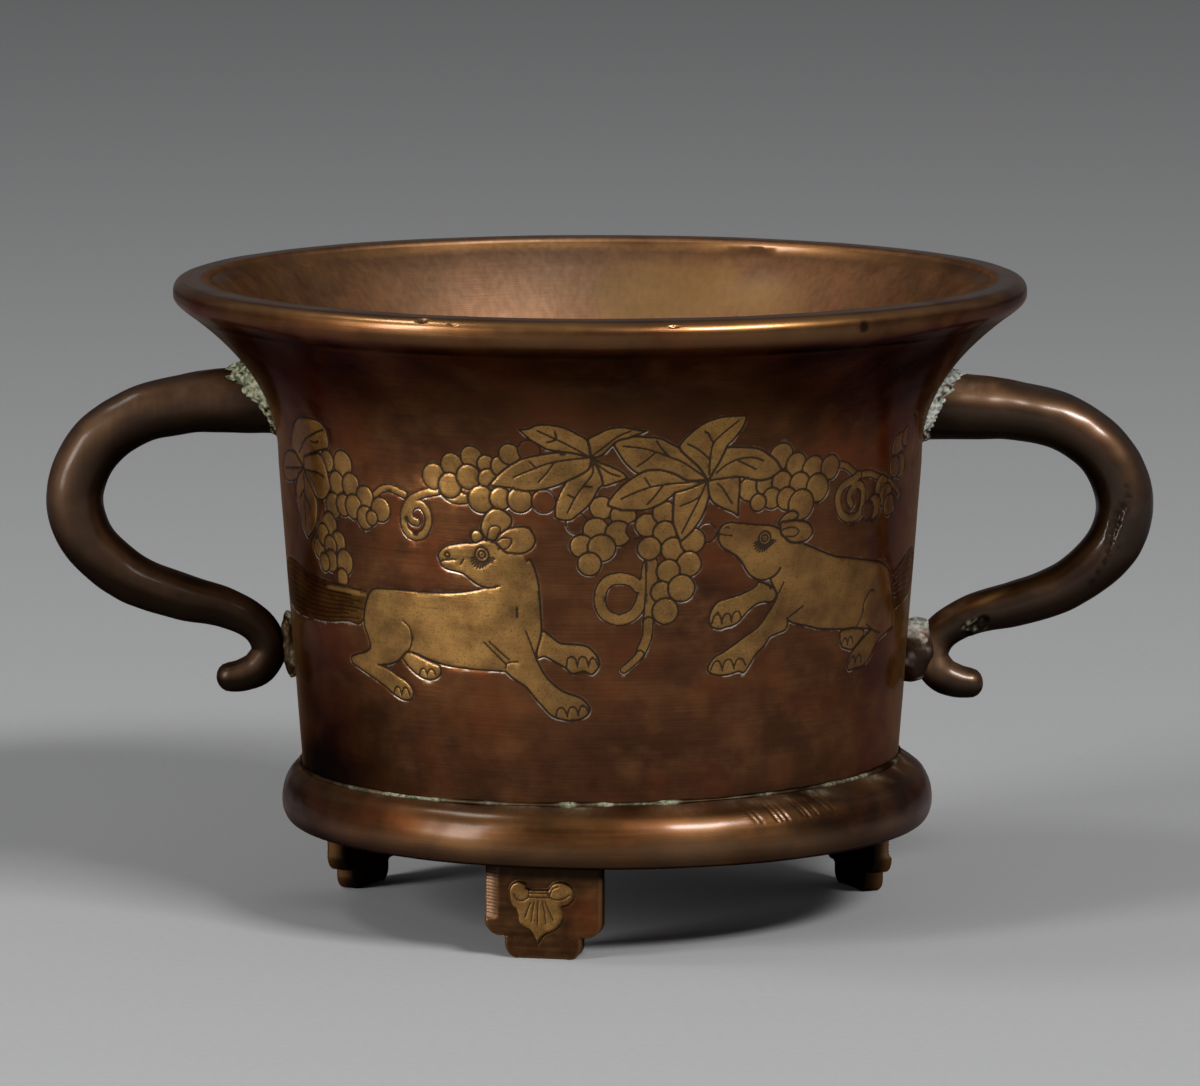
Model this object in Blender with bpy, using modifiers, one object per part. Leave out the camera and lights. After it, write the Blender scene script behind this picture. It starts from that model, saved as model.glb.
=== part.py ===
"""A small bronze censer: a flared cylinder on a moulded base ring, with two looped handles
and three cloud-shaped feet, all soldered together.

Metres, +Z up. The origin is on the vessel's axis at floor level, and the front is -Y.
"""

import math

import bmesh
import bpy
from mathutils import Matrix, Vector

MM = 0.001

# Vessel: a tapering wall that flares out into a thick flat lip
HEIGHT = 81.0 * MM
LIP_RADIUS = 54.0 * MM
LIP_WIDTH = 4.8 * MM
LIP_DEPTH = 3.6 * MM
LIP_TOP_ROUND = 0.8 * MM
LIP_LOW_ROUND = 1.2 * MM
FLARE_DEPTH = 23.0 * MM
FLARE_POWER = 2.25
WALL_RADIUS = 40.8 * MM
WALL = 2.5 * MM

# Base: the wall's cylindrical foot, the floor plate inside it and the ring around it
BASE_HEIGHT = 11.9 * MM
BASE_RADIUS = 38.0 * MM
COLLAR_HEIGHT = 8.5 * MM
PLATE_THICKNESS = 2.2 * MM
RING_SHIFT = 0.9 * MM
RING_BELLY_OUT = 3.4 * MM
RING_BELLY_RISE = 2.4 * MM
RING_SHOULDER_OUT = 1.7 * MM
RING_SHOULDER_RISE = 6.7 * MM
RING_UNDERSIDE_OUT = 2.1 * MM
RING_SLOPE = 0.65
SEAM_BEAD_RADIUS = 0.45 * MM

# Handles: a tapering rod whose root is butted to the flare and whose heel touches the wall
HANDLE_RADIUS = 3.65 * MM
ROOT_DEPTH = 15.6 * MM
HEEL_DROP = 32.0 * MM
HEEL_STANDOFF = 0.9 * MM
ROOT_EMBED = 2.0 * MM
HANDLE_DROP = {"left": 0.0 * MM, "right": 0.8 * MM}
COLLAR_SPREAD = 1.2 * MM
PAD_SPREAD = 0.9 * MM
SOLDER_REACH = 2.3 * MM

# Feet: flat plates cut to a cloud outline, each with a gilt leaf on its face
FOOT_SETBACK = 1.0 * MM
FOOT_THICKNESS = 2.6 * MM
FOOT_WIDTH = 14.8 * MM
FOOT_LOBE_WIDTH = 9.7 * MM
FOOT_SHOULDER_ROUND = 2.0 * MM
FOOT_LOBE_ROUND = 1.7 * MM
FOOT_LOBE_HEIGHT = 2.7 * MM
FOOT_ANGLES = {"front": -12.5, "left": -117.5, "right": 114.0}
LEAF_THICKNESS = 0.45 * MM
LEAF_WIDTH = 8.4 * MM
LEAF_HEIGHT = 7.6 * MM
LEAF_CENTRE_RISE = 6.0 * MM

# Clearances: between soldered faces, and between flat faces that lie on each other
JOINT_GAP = 0.25 * MM
SEAT_GAP = 0.1 * MM

# Facets
TURN_STEPS = 72
ARC_STEPS = 4
CURVE_STEPS = 6
FLARE_STEPS = 9

FLARE_FOOT = HEIGHT - FLARE_DEPTH
LIP_UNDERSIDE = HEIGHT - LIP_DEPTH
COLLAR_TOP = BASE_HEIGHT + COLLAR_HEIGHT
RING_SHOULDER_RADIUS = BASE_RADIUS + RING_SHOULDER_OUT
FOOT_FACE_RADIUS = BASE_RADIUS - FOOT_SETBACK

# The handle's centreline as seen from the side: distance out from the heel, rise from the
# heel and the rod's radius, both distances in millimetres, the radius as a share
HANDLE_ROUTE = [
    (5.7, 31.7, 1.12),
    (10.2, 31.3, 1.04),
    (16.7, 29.7, 1.00),
    (22.0, 25.8, 1.00),
    (24.5, 19.9, 1.00),
    (23.0, 14.0, 0.96),
    (17.7, 9.2, 0.87),
    (11.3, 6.7, 0.81),
    (5.4, 5.2, 0.70),
    (1.4, 2.9, 0.63),
    (0.0, 0.0, 0.62),
    (1.2, -2.4, 0.63),
    (3.2, -3.4, 0.59),
    (5.0, -3.7, 0.53),
    (6.1, -3.6, 0.44),
    (6.6, -3.5, 0.24),
]
HEEL = [out for out, up, share in HANDLE_ROUTE].index(0.0)
ROOT_SHARE = 1.22


def clear_scene():
    for obj in list(bpy.data.objects):
        bpy.data.objects.remove(obj)


def collection(name):
    made = bpy.data.collections.new(name)
    bpy.context.scene.collection.children.link(made)
    return made


def metal(name, colour, roughness):
    made = bpy.data.materials.new(name)
    made.use_nodes = True
    shader = made.node_tree.nodes["Principled BSDF"]
    shader.inputs["Base Color"].default_value = (*colour, 1.0)
    shader.inputs["Metallic"].default_value = 1.0
    shader.inputs["Roughness"].default_value = roughness
    return made


def add_object(name, data, group, material=None):
    """A new object in its collection; without a material it is a cutter, which isn't part of the censer."""
    obj = bpy.data.objects.new(name, data)
    group.objects.link(obj)
    if material:
        data.materials.append(material)
    else:
        obj.hide_render = True
        obj.display_type = "WIRE"
    return obj


def arc(centre, radius, start, end, steps=ARC_STEPS):
    """Points on a circle from one angle to another, in degrees."""
    angles = [math.radians(start + (end - start) * i / steps) for i in range(steps + 1)]
    return [
        (centre[0] + radius * math.cos(a), centre[1] + radius * math.sin(a)) for a in angles
    ]


def bezier(a, b, c, d, steps=CURVE_STEPS):
    """Points on a cubic curve from a to d, pulled towards b and c."""
    points = []
    for i in range(steps + 1):
        t = i / steps
        s = 1 - t
        weights = (s**3, 3 * s * s * t, 3 * s * t * t, t**3)
        points.append(tuple(sum(w * p[k] for w, p in zip(weights, (a, b, c, d))) for k in (0, 1)))
    return points


def wall_radius(z):
    """The outer radius of the vessel's wall at a height below the lip."""
    if z <= COLLAR_TOP:
        return BASE_RADIUS
    if z <= FLARE_FOOT:
        share = (z - COLLAR_TOP) / (FLARE_FOOT - COLLAR_TOP)
        return BASE_RADIUS + (WALL_RADIUS - BASE_RADIUS) * share
    share = (z - FLARE_FOOT) / (LIP_UNDERSIDE - FLARE_FOOT)
    return WALL_RADIUS + (LIP_RADIUS - LIP_LOW_ROUND - WALL_RADIUS) * share**FLARE_POWER


def outer_profile(grow=0.0):
    """The vessel's outside as (radius, height), from the lip's top edge down to the base."""
    top = LIP_RADIUS - LIP_TOP_ROUND
    low = LIP_RADIUS - LIP_LOW_ROUND
    points = arc((top, HEIGHT - LIP_TOP_ROUND), LIP_TOP_ROUND, 90, 0)
    points += arc((low, LIP_UNDERSIDE + LIP_LOW_ROUND), LIP_LOW_ROUND, 0, -90)
    flare = LIP_UNDERSIDE - FLARE_FOOT
    heights = [LIP_UNDERSIDE - flare * i / FLARE_STEPS for i in range(1, FLARE_STEPS + 1)]
    points += [(wall_radius(z), z) for z in heights]
    points += [(BASE_RADIUS, COLLAR_TOP), (BASE_RADIUS, BASE_HEIGHT)]
    return [(r + grow, z) for r, z in points]


def inner_profile():
    """The vessel's inside, from the base up to the lip's inner edge."""
    foot = WALL_RADIUS - WALL
    edge = LIP_RADIUS - LIP_WIDTH
    points = [(BASE_RADIUS - WALL, BASE_HEIGHT), (BASE_RADIUS - WALL, COLLAR_TOP)]
    for i in range(FLARE_STEPS + 1):
        share = i / FLARE_STEPS
        points.append((foot + (edge - foot) * share**FLARE_POWER, FLARE_FOOT + FLARE_DEPTH * share))
    return points


def turned(name, profile, group, material=None, closed=True):
    """A profile of (radius, height) points turned about Z. An open profile starts and ends on the axis."""
    mesh = bpy.data.meshes.new(name)
    edges = [(i, i + 1) for i in range(len(profile) - 1)]
    if closed:
        edges.append((len(profile) - 1, 0))
    mesh.from_pydata([(r, 0.0, z) for r, z in profile], edges, [])
    obj = add_object(name, mesh, group, material)
    screw = obj.modifiers.new("Turn", "SCREW")
    screw.steps = TURN_STEPS
    screw.render_steps = TURN_STEPS
    screw.use_merge_vertices = True
    screw.merge_threshold = 0.01 * MM
    screw.use_smooth_shade = True
    return obj


def boolean(obj, other, operation="DIFFERENCE"):
    modifier = obj.modifiers.new(f"{operation} {other.name}", "BOOLEAN")
    modifier.operation = operation
    modifier.object = other


def body_form(name, grow, group):
    """The vessel's outside as a solid cutter, grown outwards by a clearance."""
    profile = [(0.0, HEIGHT), *outer_profile(grow), (0.0, BASE_HEIGHT)]
    return turned(name, profile, group, closed=False)


def make_vessel(parts, bronze):
    return turned("vessel_body", outer_profile() + inner_profile(), parts, bronze)


def make_base_plate(parts, bronze):
    """The floor of the bowl: a disc set flush in the foot of the wall."""
    radius = BASE_RADIUS - WALL - JOINT_GAP
    mesh = bpy.data.meshes.new("base_plate")
    disc = bmesh.new()
    bmesh.ops.create_cone(
        disc,
        cap_ends=True,
        segments=TURN_STEPS,
        radius1=radius,
        radius2=radius,
        depth=PLATE_THICKNESS,
    )
    disc.to_mesh(mesh)
    disc.free()
    plate = add_object("base_plate", mesh, parts, bronze)
    plate.location.z = BASE_HEIGHT + PLATE_THICKNESS / 2
    return plate


def ring_slope_height(radius):
    """The height of the ring's sloping top at a distance from the ring's own axis."""
    return BASE_HEIGHT + RING_SHOULDER_RISE + (RING_SHOULDER_RADIUS - radius) * RING_SLOPE


def make_base_ring(parts, cutters, bronze):
    """The moulded ring, soldered on a little off the vessel's axis, and bored to fit the wall."""
    inside = BASE_RADIUS - abs(RING_SHIFT) - WALL
    shoulder = (RING_SHOULDER_RADIUS, ring_slope_height(RING_SHOULDER_RADIUS))
    belly = (BASE_RADIUS + RING_BELLY_OUT, BASE_HEIGHT + RING_BELLY_RISE)
    underside = (BASE_RADIUS + RING_UNDERSIDE_OUT, BASE_HEIGHT)
    spread = belly[0] - shoulder[0]
    fall = shoulder[1] - belly[1]
    turn = belly[0] - underside[0]
    profile = [(inside, ring_slope_height(inside))]
    profile += bezier(
        shoulder,
        (shoulder[0] + spread / 2, shoulder[1] - spread / 2 * RING_SLOPE),
        (belly[0], belly[1] + fall / 2),
        belly,
    )
    profile += bezier(
        belly,
        (belly[0], belly[1] - RING_BELLY_RISE / 2),
        (underside[0] + turn / 2, underside[1]),
        underside,
    )[1:]
    profile.append((inside, BASE_HEIGHT))
    ring = turned("base_ring", profile, parts, bronze)
    ring.location.x = RING_SHIFT
    boolean(ring, body_form("base_ring_bore", JOINT_GAP, cutters))
    return ring


def make_base_seam(parts, solder):
    """The solder bead in the corner of wall and ring. The ring is off the axis, so the bead tilts with its slope."""
    reach = BASE_RADIUS + JOINT_GAP + SEAM_BEAD_RADIUS
    lift = (SEAM_BEAD_RADIUS + JOINT_GAP) * math.hypot(1, RING_SLOPE)
    bpy.ops.mesh.primitive_torus_add(
        major_radius=reach,
        minor_radius=SEAM_BEAD_RADIUS,
        major_segments=TURN_STEPS,
        minor_segments=6,
    )
    bead = bpy.context.object
    bead.name = "base_seam_solder"
    bead.data.materials.append(solder)
    bpy.context.collection.objects.unlink(bead)
    parts.objects.link(bead)
    bead.location.z = ring_slope_height(reach) + lift
    bead.rotation_euler.y = -math.atan(RING_SHIFT * RING_SLOPE / reach)
    return bead


def handle_points(side):
    """The handle's centreline as (distance from the axis, height, radius), from inside the wall to the tail's tip."""
    root_height = HEIGHT - ROOT_DEPTH - HANDLE_DROP[side]
    heel_height = root_height - HEEL_DROP
    heel_radius = HANDLE_RADIUS * HANDLE_ROUTE[HEEL][2]
    heel_reach = wall_radius(heel_height) + HEEL_STANDOFF + heel_radius
    points = [(wall_radius(root_height) - ROOT_EMBED, root_height, HANDLE_RADIUS * ROOT_SHARE)]
    for out, up, share in HANDLE_ROUTE:
        points.append((heel_reach + out * MM, heel_height + up * MM, HANDLE_RADIUS * share))
    return points


def rod(name, points, side, group, grow=0.0, material=None):
    """A round rod along a centreline, as a mesh with welded caps."""
    curve = bpy.data.curves.new(name + "_line", "CURVE")
    curve.dimensions = "3D"
    curve.bevel_depth = HANDLE_RADIUS
    curve.bevel_resolution = 4
    curve.resolution_u = 4
    curve.use_fill_caps = True
    spline = curve.splines.new("BEZIER")
    spline.bezier_points.add(len(points) - 1)
    spline.radius_interpolation = "CARDINAL"
    facing = -1 if side == "left" else 1
    for knot, (reach, height, radius) in zip(spline.bezier_points, points):
        knot.co = (facing * reach, 0.0, height)
        knot.radius = (radius + grow) / HANDLE_RADIUS
        knot.handle_left_type = "AUTO"
        knot.handle_right_type = "AUTO"
    line = bpy.data.objects.new(name + "_line", curve)
    bpy.context.scene.collection.objects.link(line)
    bpy.context.view_layer.update()
    graph = bpy.context.evaluated_depsgraph_get()
    mesh = bpy.data.meshes.new_from_object(line.evaluated_get(graph))
    mesh.name = name
    bpy.data.objects.remove(line)
    welded = bmesh.new()
    welded.from_mesh(mesh)
    bmesh.ops.remove_doubles(welded, verts=welded.verts, dist=0.001 * MM)
    bmesh.ops.recalc_face_normals(welded, faces=welded.faces)
    welded.to_mesh(mesh)
    welded.free()
    mesh.shade_smooth()
    return add_object(name, mesh, group, material)


def make_handle(side, parts, cutters, wall_cutter, solder_limit, bronze, solder):
    """One handle, with the solder collar at its root and the solder pad at its heel."""
    points = handle_points(side)
    handle = rod(f"handle_{side}", points, side, parts, material=bronze)
    boolean(handle, wall_cutter)
    clearance = rod(f"handle_{side}_clearance", points, side, cutters, JOINT_GAP)
    heel = HEEL + 1
    stretches = {
        "upper": (points[:4], COLLAR_SPREAD),
        "lower": (points[heel - 3 : heel + 4], PAD_SPREAD),
    }
    for place, (stretch, spread) in stretches.items():
        name = f"handle_{side}_{place}_solder"
        bead = rod(name, stretch, side, parts, spread, solder)
        boolean(bead, solder_limit, "INTERSECT")
        boolean(bead, wall_cutter)
        boolean(bead, clearance)
    return handle


def half_foot_outline():
    """The right half of a foot's outline, from the top down, with its middle bottom at the origin."""
    half = FOOT_WIDTH / 2
    lobe = FOOT_LOBE_WIDTH / 2
    top = BASE_HEIGHT - SEAT_GAP
    shoulder = (half - FOOT_SHOULDER_ROUND, FOOT_LOBE_HEIGHT + FOOT_SHOULDER_ROUND)
    bottom = (lobe - FOOT_LOBE_ROUND, FOOT_LOBE_ROUND)
    points = [(half, top)]
    points += arc(shoulder, FOOT_SHOULDER_ROUND, 0, -90)
    points.append((lobe, FOOT_LOBE_HEIGHT))
    points += arc(bottom, FOOT_LOBE_ROUND, 0, -90)
    return points


def half_leaf_outline():
    """The right half of the gilt leaf: a curled lobe at the top, a waist and a pointed blade."""
    across = LEAF_WIDTH / 2
    up = LEAF_HEIGHT / 2
    curl = LEAF_WIDTH * 0.16
    centre = (across - curl, up - curl)
    points = [(across * 0.3, up - curl * 0.7)]
    points += arc(centre, curl, 160, -70, CURVE_STEPS)
    points += bezier(
        (across * 0.62, up * 0.22),
        (across * 1.02, -up * 0.25),
        (across * 0.42, -up * 0.7),
        (0.0, -up),
    )
    return points


def flat_plate(name, half, thickness, group, material):
    """A symmetric plate cut to the outline whose right half is given, from its top down to its middle."""
    left = [(-x, y) for x, y in reversed(half) if x > 0]
    outline = half + left
    curve = bpy.data.curves.new(name, "CURVE")
    curve.dimensions = "2D"
    curve.fill_mode = "BOTH"
    curve.extrude = thickness / 2
    spline = curve.splines.new("POLY")
    spline.points.add(len(outline) - 1)
    for knot, (x, y) in zip(spline.points, outline):
        knot.co = (x, y, 0.0, 1.0)
    spline.use_cyclic_u = True
    return add_object(name, curve, group, material)


def stand(obj, angle, radius, height):
    """Stands a flat plate up, facing away from the ring's axis at an angle from the front."""
    turn = Matrix.Rotation(math.radians(angle), 4, "Z")
    upright = Matrix.Rotation(math.radians(90), 4, "X")
    place = Matrix.Translation(turn @ Vector((0.0, -radius, 0.0)) + Vector((RING_SHIFT, 0.0, height)))
    obj.matrix_world = place @ turn @ upright


def make_foot(side, angle, parts, bronze, gilt):
    foot = flat_plate(f"foot_{side}", half_foot_outline(), FOOT_THICKNESS, parts, bronze)
    stand(foot, angle, FOOT_FACE_RADIUS - FOOT_THICKNESS / 2, 0.0)
    leaf = flat_plate(f"foot_{side}_leaf", half_leaf_outline(), LEAF_THICKNESS, parts, gilt)
    stand(leaf, angle, FOOT_FACE_RADIUS + SEAT_GAP + LEAF_THICKNESS / 2, LEAF_CENTRE_RISE)


def main():
    clear_scene()
    parts = collection("bronze_censer")
    cutters = collection("cutters")
    bronze = metal("bronze", (0.16, 0.065, 0.030), 0.38)
    gilt = metal("gilt", (0.45, 0.28, 0.10), 0.40)
    solder = metal("solder", (0.30, 0.33, 0.24), 0.80)

    make_vessel(parts, bronze)
    make_base_plate(parts, bronze)
    make_base_ring(parts, cutters, bronze)
    make_base_seam(parts, solder)

    wall_cutter = body_form("wall_clearance", JOINT_GAP, cutters)
    solder_limit = body_form("solder_limit", SOLDER_REACH, cutters)
    for side in HANDLE_DROP:
        make_handle(side, parts, cutters, wall_cutter, solder_limit, bronze, solder)
    for side, angle in FOOT_ANGLES.items():
        make_foot(side, angle, parts, bronze, gilt)


main()
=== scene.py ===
# %% [markdown]
# A small bronze censer with a chased and gilt frieze.
#
# The imported model gives every solid of the censer in metres, with the front at -Y and the
# floor at z = 0. This lesson dresses it: each solid is replaced by a finer piece of the same
# size, and each piece gets a metal finish made of nodes. The solids stay as the measure of
# everything, hidden once their pieces are hung.

# %% load the imported model
import math

import bmesh
import bpy
import numpy as np
from mathutils import Matrix, Vector, noise


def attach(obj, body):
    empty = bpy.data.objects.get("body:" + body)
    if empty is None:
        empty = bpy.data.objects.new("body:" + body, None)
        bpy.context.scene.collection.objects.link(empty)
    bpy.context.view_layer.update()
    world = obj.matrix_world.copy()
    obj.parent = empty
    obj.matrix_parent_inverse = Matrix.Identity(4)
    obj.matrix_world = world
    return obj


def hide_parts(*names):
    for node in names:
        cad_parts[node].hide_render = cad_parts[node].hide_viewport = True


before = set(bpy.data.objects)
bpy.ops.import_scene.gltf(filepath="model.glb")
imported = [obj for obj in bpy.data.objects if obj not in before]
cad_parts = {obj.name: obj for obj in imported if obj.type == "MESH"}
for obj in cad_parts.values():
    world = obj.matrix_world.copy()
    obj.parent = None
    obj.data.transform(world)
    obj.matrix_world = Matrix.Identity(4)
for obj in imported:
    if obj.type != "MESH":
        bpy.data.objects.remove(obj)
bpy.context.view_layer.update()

MM = 0.001

# %% [markdown]
# The camera. The photograph was taken from a little above the lip with a long lens, so the
# rim shows as a flat ellipse. The distance, the tilt and the focal length were found by
# fitting the rim, the base seam and the feet. A long lens is given in millimetres for a
# sensor of 36 mm, which is Blender's own default.

# %% camera
CAMERA_PLACE = (0.0, -1.0329, 0.18877)
CAMERA_TILT = 0.1365
CAMERA_LENS = 246.174
CAMERA_SENSOR = 36.0
CAMERA_SIGHT = 50.0

lens = bpy.data.cameras.new("camera")
lens.lens = CAMERA_LENS
lens.sensor_width = CAMERA_SENSOR
lens.sensor_fit = "HORIZONTAL"
lens.clip_end = CAMERA_SIGHT
camera = bpy.data.objects.new("camera", lens)
camera.location = CAMERA_PLACE
camera.rotation_euler = (math.pi / 2 - CAMERA_TILT, 0.0, 0.0)
bpy.context.scene.collection.objects.link(camera)
bpy.context.scene.camera = camera
bpy.context.scene.view_settings.view_transform = "Standard"
print("camera at", CAMERA_PLACE, "lens", round(CAMERA_LENS, 1))

# %% [markdown]
# Nodes are short to write with a few helpers. One makes a node and fills its sockets with
# values or links. The others each stand for one kind of node: a mix of two colours, a grey
# value stretched to another range, a sum or a product, a cloudy pattern, and a value that was
# painted on the points of a piece.

# %% make, mix and add nodes
def add_node(tree, kind, inputs=(), **settings):
    """A node with its settings; inputs is a list of (socket name or number, value or link)."""
    made = tree.nodes.new(kind)
    for key, value in settings.items():
        setattr(made, key, value)
    for key, value in inputs:
        if isinstance(value, bpy.types.NodeSocket):
            tree.links.new(value, made.inputs[key])
        else:
            made.inputs[key].default_value = value
    return made


def mix_colour(tree, share, first, second, blend="MIX"):
    """First colour where share is 0, second where it is 1."""
    def solid(value):
        return value if isinstance(value, bpy.types.NodeSocket) else (*value, 1.0)

    node = add_node(
        tree,
        "ShaderNodeMix",
        [(0, share), (6, solid(first)), (7, solid(second))],
        data_type="RGBA",
        blend_type=blend,
    )
    return node.outputs[2]


def spread(tree, value, low, high, to_low=0.0, to_high=1.0):
    """Value from low to high, stretched from to_low to to_high and held there beyond."""
    ends = [("From Min", low), ("From Max", high), ("To Min", to_low), ("To Max", to_high)]
    return add_node(tree, "ShaderNodeMapRange", [("Value", value), *ends]).outputs[0]


def arithmetic(tree, operation, first, second):
    """The sum, difference or product of two grey values."""
    return add_node(
        tree, "ShaderNodeMath", [(0, first), (1, second)], operation=operation
    ).outputs[0]


# %% patterns and painted values
def grain(tree, place, per_metre, detail=3.0, seed=0.0):
    """A cloudy grey pattern; per_metre is its number of clouds along x, y and z."""
    mapped = add_node(
        tree,
        "ShaderNodeMapping",
        [("Vector", place), ("Scale", per_metre), ("Location", (seed, seed * 0.7, seed * 1.3))],
    )
    return add_node(
        tree,
        "ShaderNodeTexNoise",
        [("Vector", mapped.outputs[0]), ("Scale", 1.0), ("Detail", detail), ("Roughness", 0.55)],
    ).outputs[0]


def painted(tree, name):
    """The value that was painted on the piece's points under this name."""
    return add_node(tree, "ShaderNodeAttribute", attribute_name=name).outputs["Fac"]


# %% [markdown]
# Floor and light. A seamless sheet of pale paper runs under the censer and up behind it, so
# that no horizon cuts the picture. It starts as one edge that is extruded along the floor,
# round the bend and up. The bend lies far back, beyond the circle from which the other views
# look, so the paper never stands between camera and censer. The light is soft: a grey
# surround, a wide lamp high on the right, a tall one on the left, which draws the long
# upright gleam on the wall, and a weak one high on the left for the lip.

# %% paper sweep
FLOOR_HALF_WIDTH = 3.6
FLOOR_FRONT = -3.2
BEND_START = 2.6
BEND_RADIUS = 0.8
BEND_STEPS = 16
WALL_TOP = 2.6

sheet = bmesh.new()
edge = sheet.edges.new(
    [sheet.verts.new((side * FLOOR_HALF_WIDTH, FLOOR_FRONT, 0.0)) for side in (-1, 1)]
)
stops = [(BEND_START, 0.0)]
for step in range(1, BEND_STEPS + 1):
    turn = math.pi / 2 * step / BEND_STEPS
    stops.append(
        (BEND_START + BEND_RADIUS * math.sin(turn), BEND_RADIUS * (1 - math.cos(turn)))
    )
stops.append((BEND_START + BEND_RADIUS, WALL_TOP))
here = (FLOOR_FRONT, 0.0)
for stop in stops:
    grown = bmesh.ops.extrude_edge_only(sheet, edges=[edge])["geom"]
    edge = [g for g in grown if isinstance(g, bmesh.types.BMEdge)][0]
    bmesh.ops.translate(
        sheet, vec=(0.0, stop[0] - here[0], stop[1] - here[1]), verts=list(edge.verts)
    )
    here = stop
bmesh.ops.recalc_face_normals(sheet, faces=sheet.faces)
if min(sheet.faces, key=lambda f: f.calc_center_median().z).normal.z < 0:
    bmesh.ops.reverse_faces(sheet, faces=sheet.faces)
paper_mesh = bpy.data.meshes.new("paper_sweep")
sheet.to_mesh(paper_mesh)
sheet.free()
paper_mesh.shade_smooth()
paper = bpy.data.objects.new("paper_sweep", paper_mesh)
bpy.context.scene.collection.objects.link(paper)
print("paper sweep faces:", len(paper_mesh.polygons))

# %% the paper's look
PAPER_TONES = ((0.36, 0.362, 0.365), (0.41, 0.41, 0.41))
PAPER_FIBRES = (900.0, 900.0, 900.0)
PAPER_ROUGHNESS = 0.9
PAPER_GLOSS = 0.1

paper_look = bpy.data.materials.new("pale_paper")
paper_look.use_nodes = True
tree = paper_look.node_tree
place = add_node(tree, "ShaderNodeTexCoord").outputs["Object"]
fibre = grain(tree, place, PAPER_FIBRES, 4.0)
tone = mix_colour(tree, fibre, *PAPER_TONES)
shader = tree.nodes["Principled BSDF"]
tree.links.new(tone, shader.inputs["Base Color"])
shader.inputs["Roughness"].default_value = PAPER_ROUGHNESS
shader.inputs["Specular IOR Level"].default_value = PAPER_GLOSS
paper_mesh.materials.append(paper_look)
print("paper nodes:", len(tree.nodes))

# %% lamps and surround
LAMPS = {
    # name: (place, width, height, watts)
    "key_lamp": ((0.80, -1.00, 1.05), 0.62, 0.23, 21.0),
    "tall_lamp": ((-0.97, -0.70, 0.43), 0.32, 0.60, 11.0),
    "top_lamp": ((-0.80, -0.10, 1.30), 0.36, 0.24, 3.2),
}
LAMP_AIM = Vector((0.0, 0.0, 0.05))
SURROUND_COLOUR = (0.62, 0.63, 0.65, 1.0)
SURROUND_STRENGTH = 0.30
for name, (spot, width, height, watts) in LAMPS.items():
    light = bpy.data.lights.new(name, "AREA")
    light.shape = "RECTANGLE"
    light.size = width
    light.size_y = height
    light.energy = watts
    lamp = bpy.data.objects.new(name, light)
    lamp.location = spot
    lamp.rotation_euler = (LAMP_AIM - Vector(spot)).to_track_quat("-Z", "Y").to_euler()
    bpy.context.scene.collection.objects.link(lamp)

surround = bpy.data.worlds.new("surround")
surround.use_nodes = True
background = surround.node_tree.nodes["Background"]
background.inputs["Color"].default_value = SURROUND_COLOUR
background.inputs["Strength"].default_value = SURROUND_STRENGTH
bpy.context.scene.world = surround
print("lamps:", list(LAMPS))

# %% [markdown]
# Measures. These are the censer's own sizes in millimetres, the same as those of the solids:
# a foot of 38 mm radius that leans out to 40.8 mm and then flares to the thick flat lip.

# %% measures of the vessel
HEIGHT = 81.0
BASE_HEIGHT = 11.9
COLLAR_TOP = 20.4
FLARE_FOOT = 58.0
LIP_UNDERSIDE = 77.4
LIP_RADIUS = 54.0
LIP_EDGE = 49.2
LIP_TOP_ROUND = 1.5
LIP_LOW_ROUND = 1.2
BASE_RADIUS = 38.0
WALL_RADIUS = 40.8
WALL = 2.5
FLARE_POWER = 2.25


def share_of(values, low, high):
    """How far values have gone from low to high, from 0 to 1; low may be the greater."""
    return np.clip((np.asarray(values, float) - low) / (high - low), 0, 1)


def wall_radius(z):
    """Outer radius of the wall at a height, for one height or an array of them."""
    lean = share_of(z, COLLAR_TOP, FLARE_FOOT)
    flare = share_of(z, FLARE_FOOT, LIP_UNDERSIDE)
    out = LIP_RADIUS - LIP_LOW_ROUND - WALL_RADIUS
    return BASE_RADIUS + (WALL_RADIUS - BASE_RADIUS) * lean + out * flare**FLARE_POWER


def bowl_radius(z):
    """Inner radius of the wall at a height."""
    lean = share_of(z, COLLAR_TOP, FLARE_FOOT)
    flare = share_of(z, FLARE_FOOT, HEIGHT)
    foot = WALL_RADIUS - WALL
    low = BASE_RADIUS - WALL
    return low + (foot - low) * lean + (LIP_EDGE - foot) * flare**FLARE_POWER


print("wall radius at the flare's foot:", wall_radius(FLARE_FOOT))
print("wall radius under the lip:", wall_radius(LIP_UNDERSIDE))

# %% [markdown]
# The drawing board. The frieze is chased: the maker drew it on the wall, cut the lines with a
# chisel and gilded the figures. A picture texture is not wanted here, so the drawing is made
# of lines through points. The board is a sheet of small squares, the unrolled wall, and each
# square knows four things: how far the figure is raised, how deep a line is cut, how much gold
# lies there and how dark it has worn. Later figures cover earlier ones, as on paper. Along the
# board one unit is a millimetre at a radius of 40 mm, and z is the real height.

# %% lines through points
def points_of(text):
    """Points from words such as '3,4.5'; a word that ends in ! is a sharp corner."""
    points = []
    for word in text.split():
        pair = tuple(float(v) for v in word.rstrip("!").split(","))
        points += [pair, pair] if word.endswith("!") else [pair]
    return points


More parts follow.
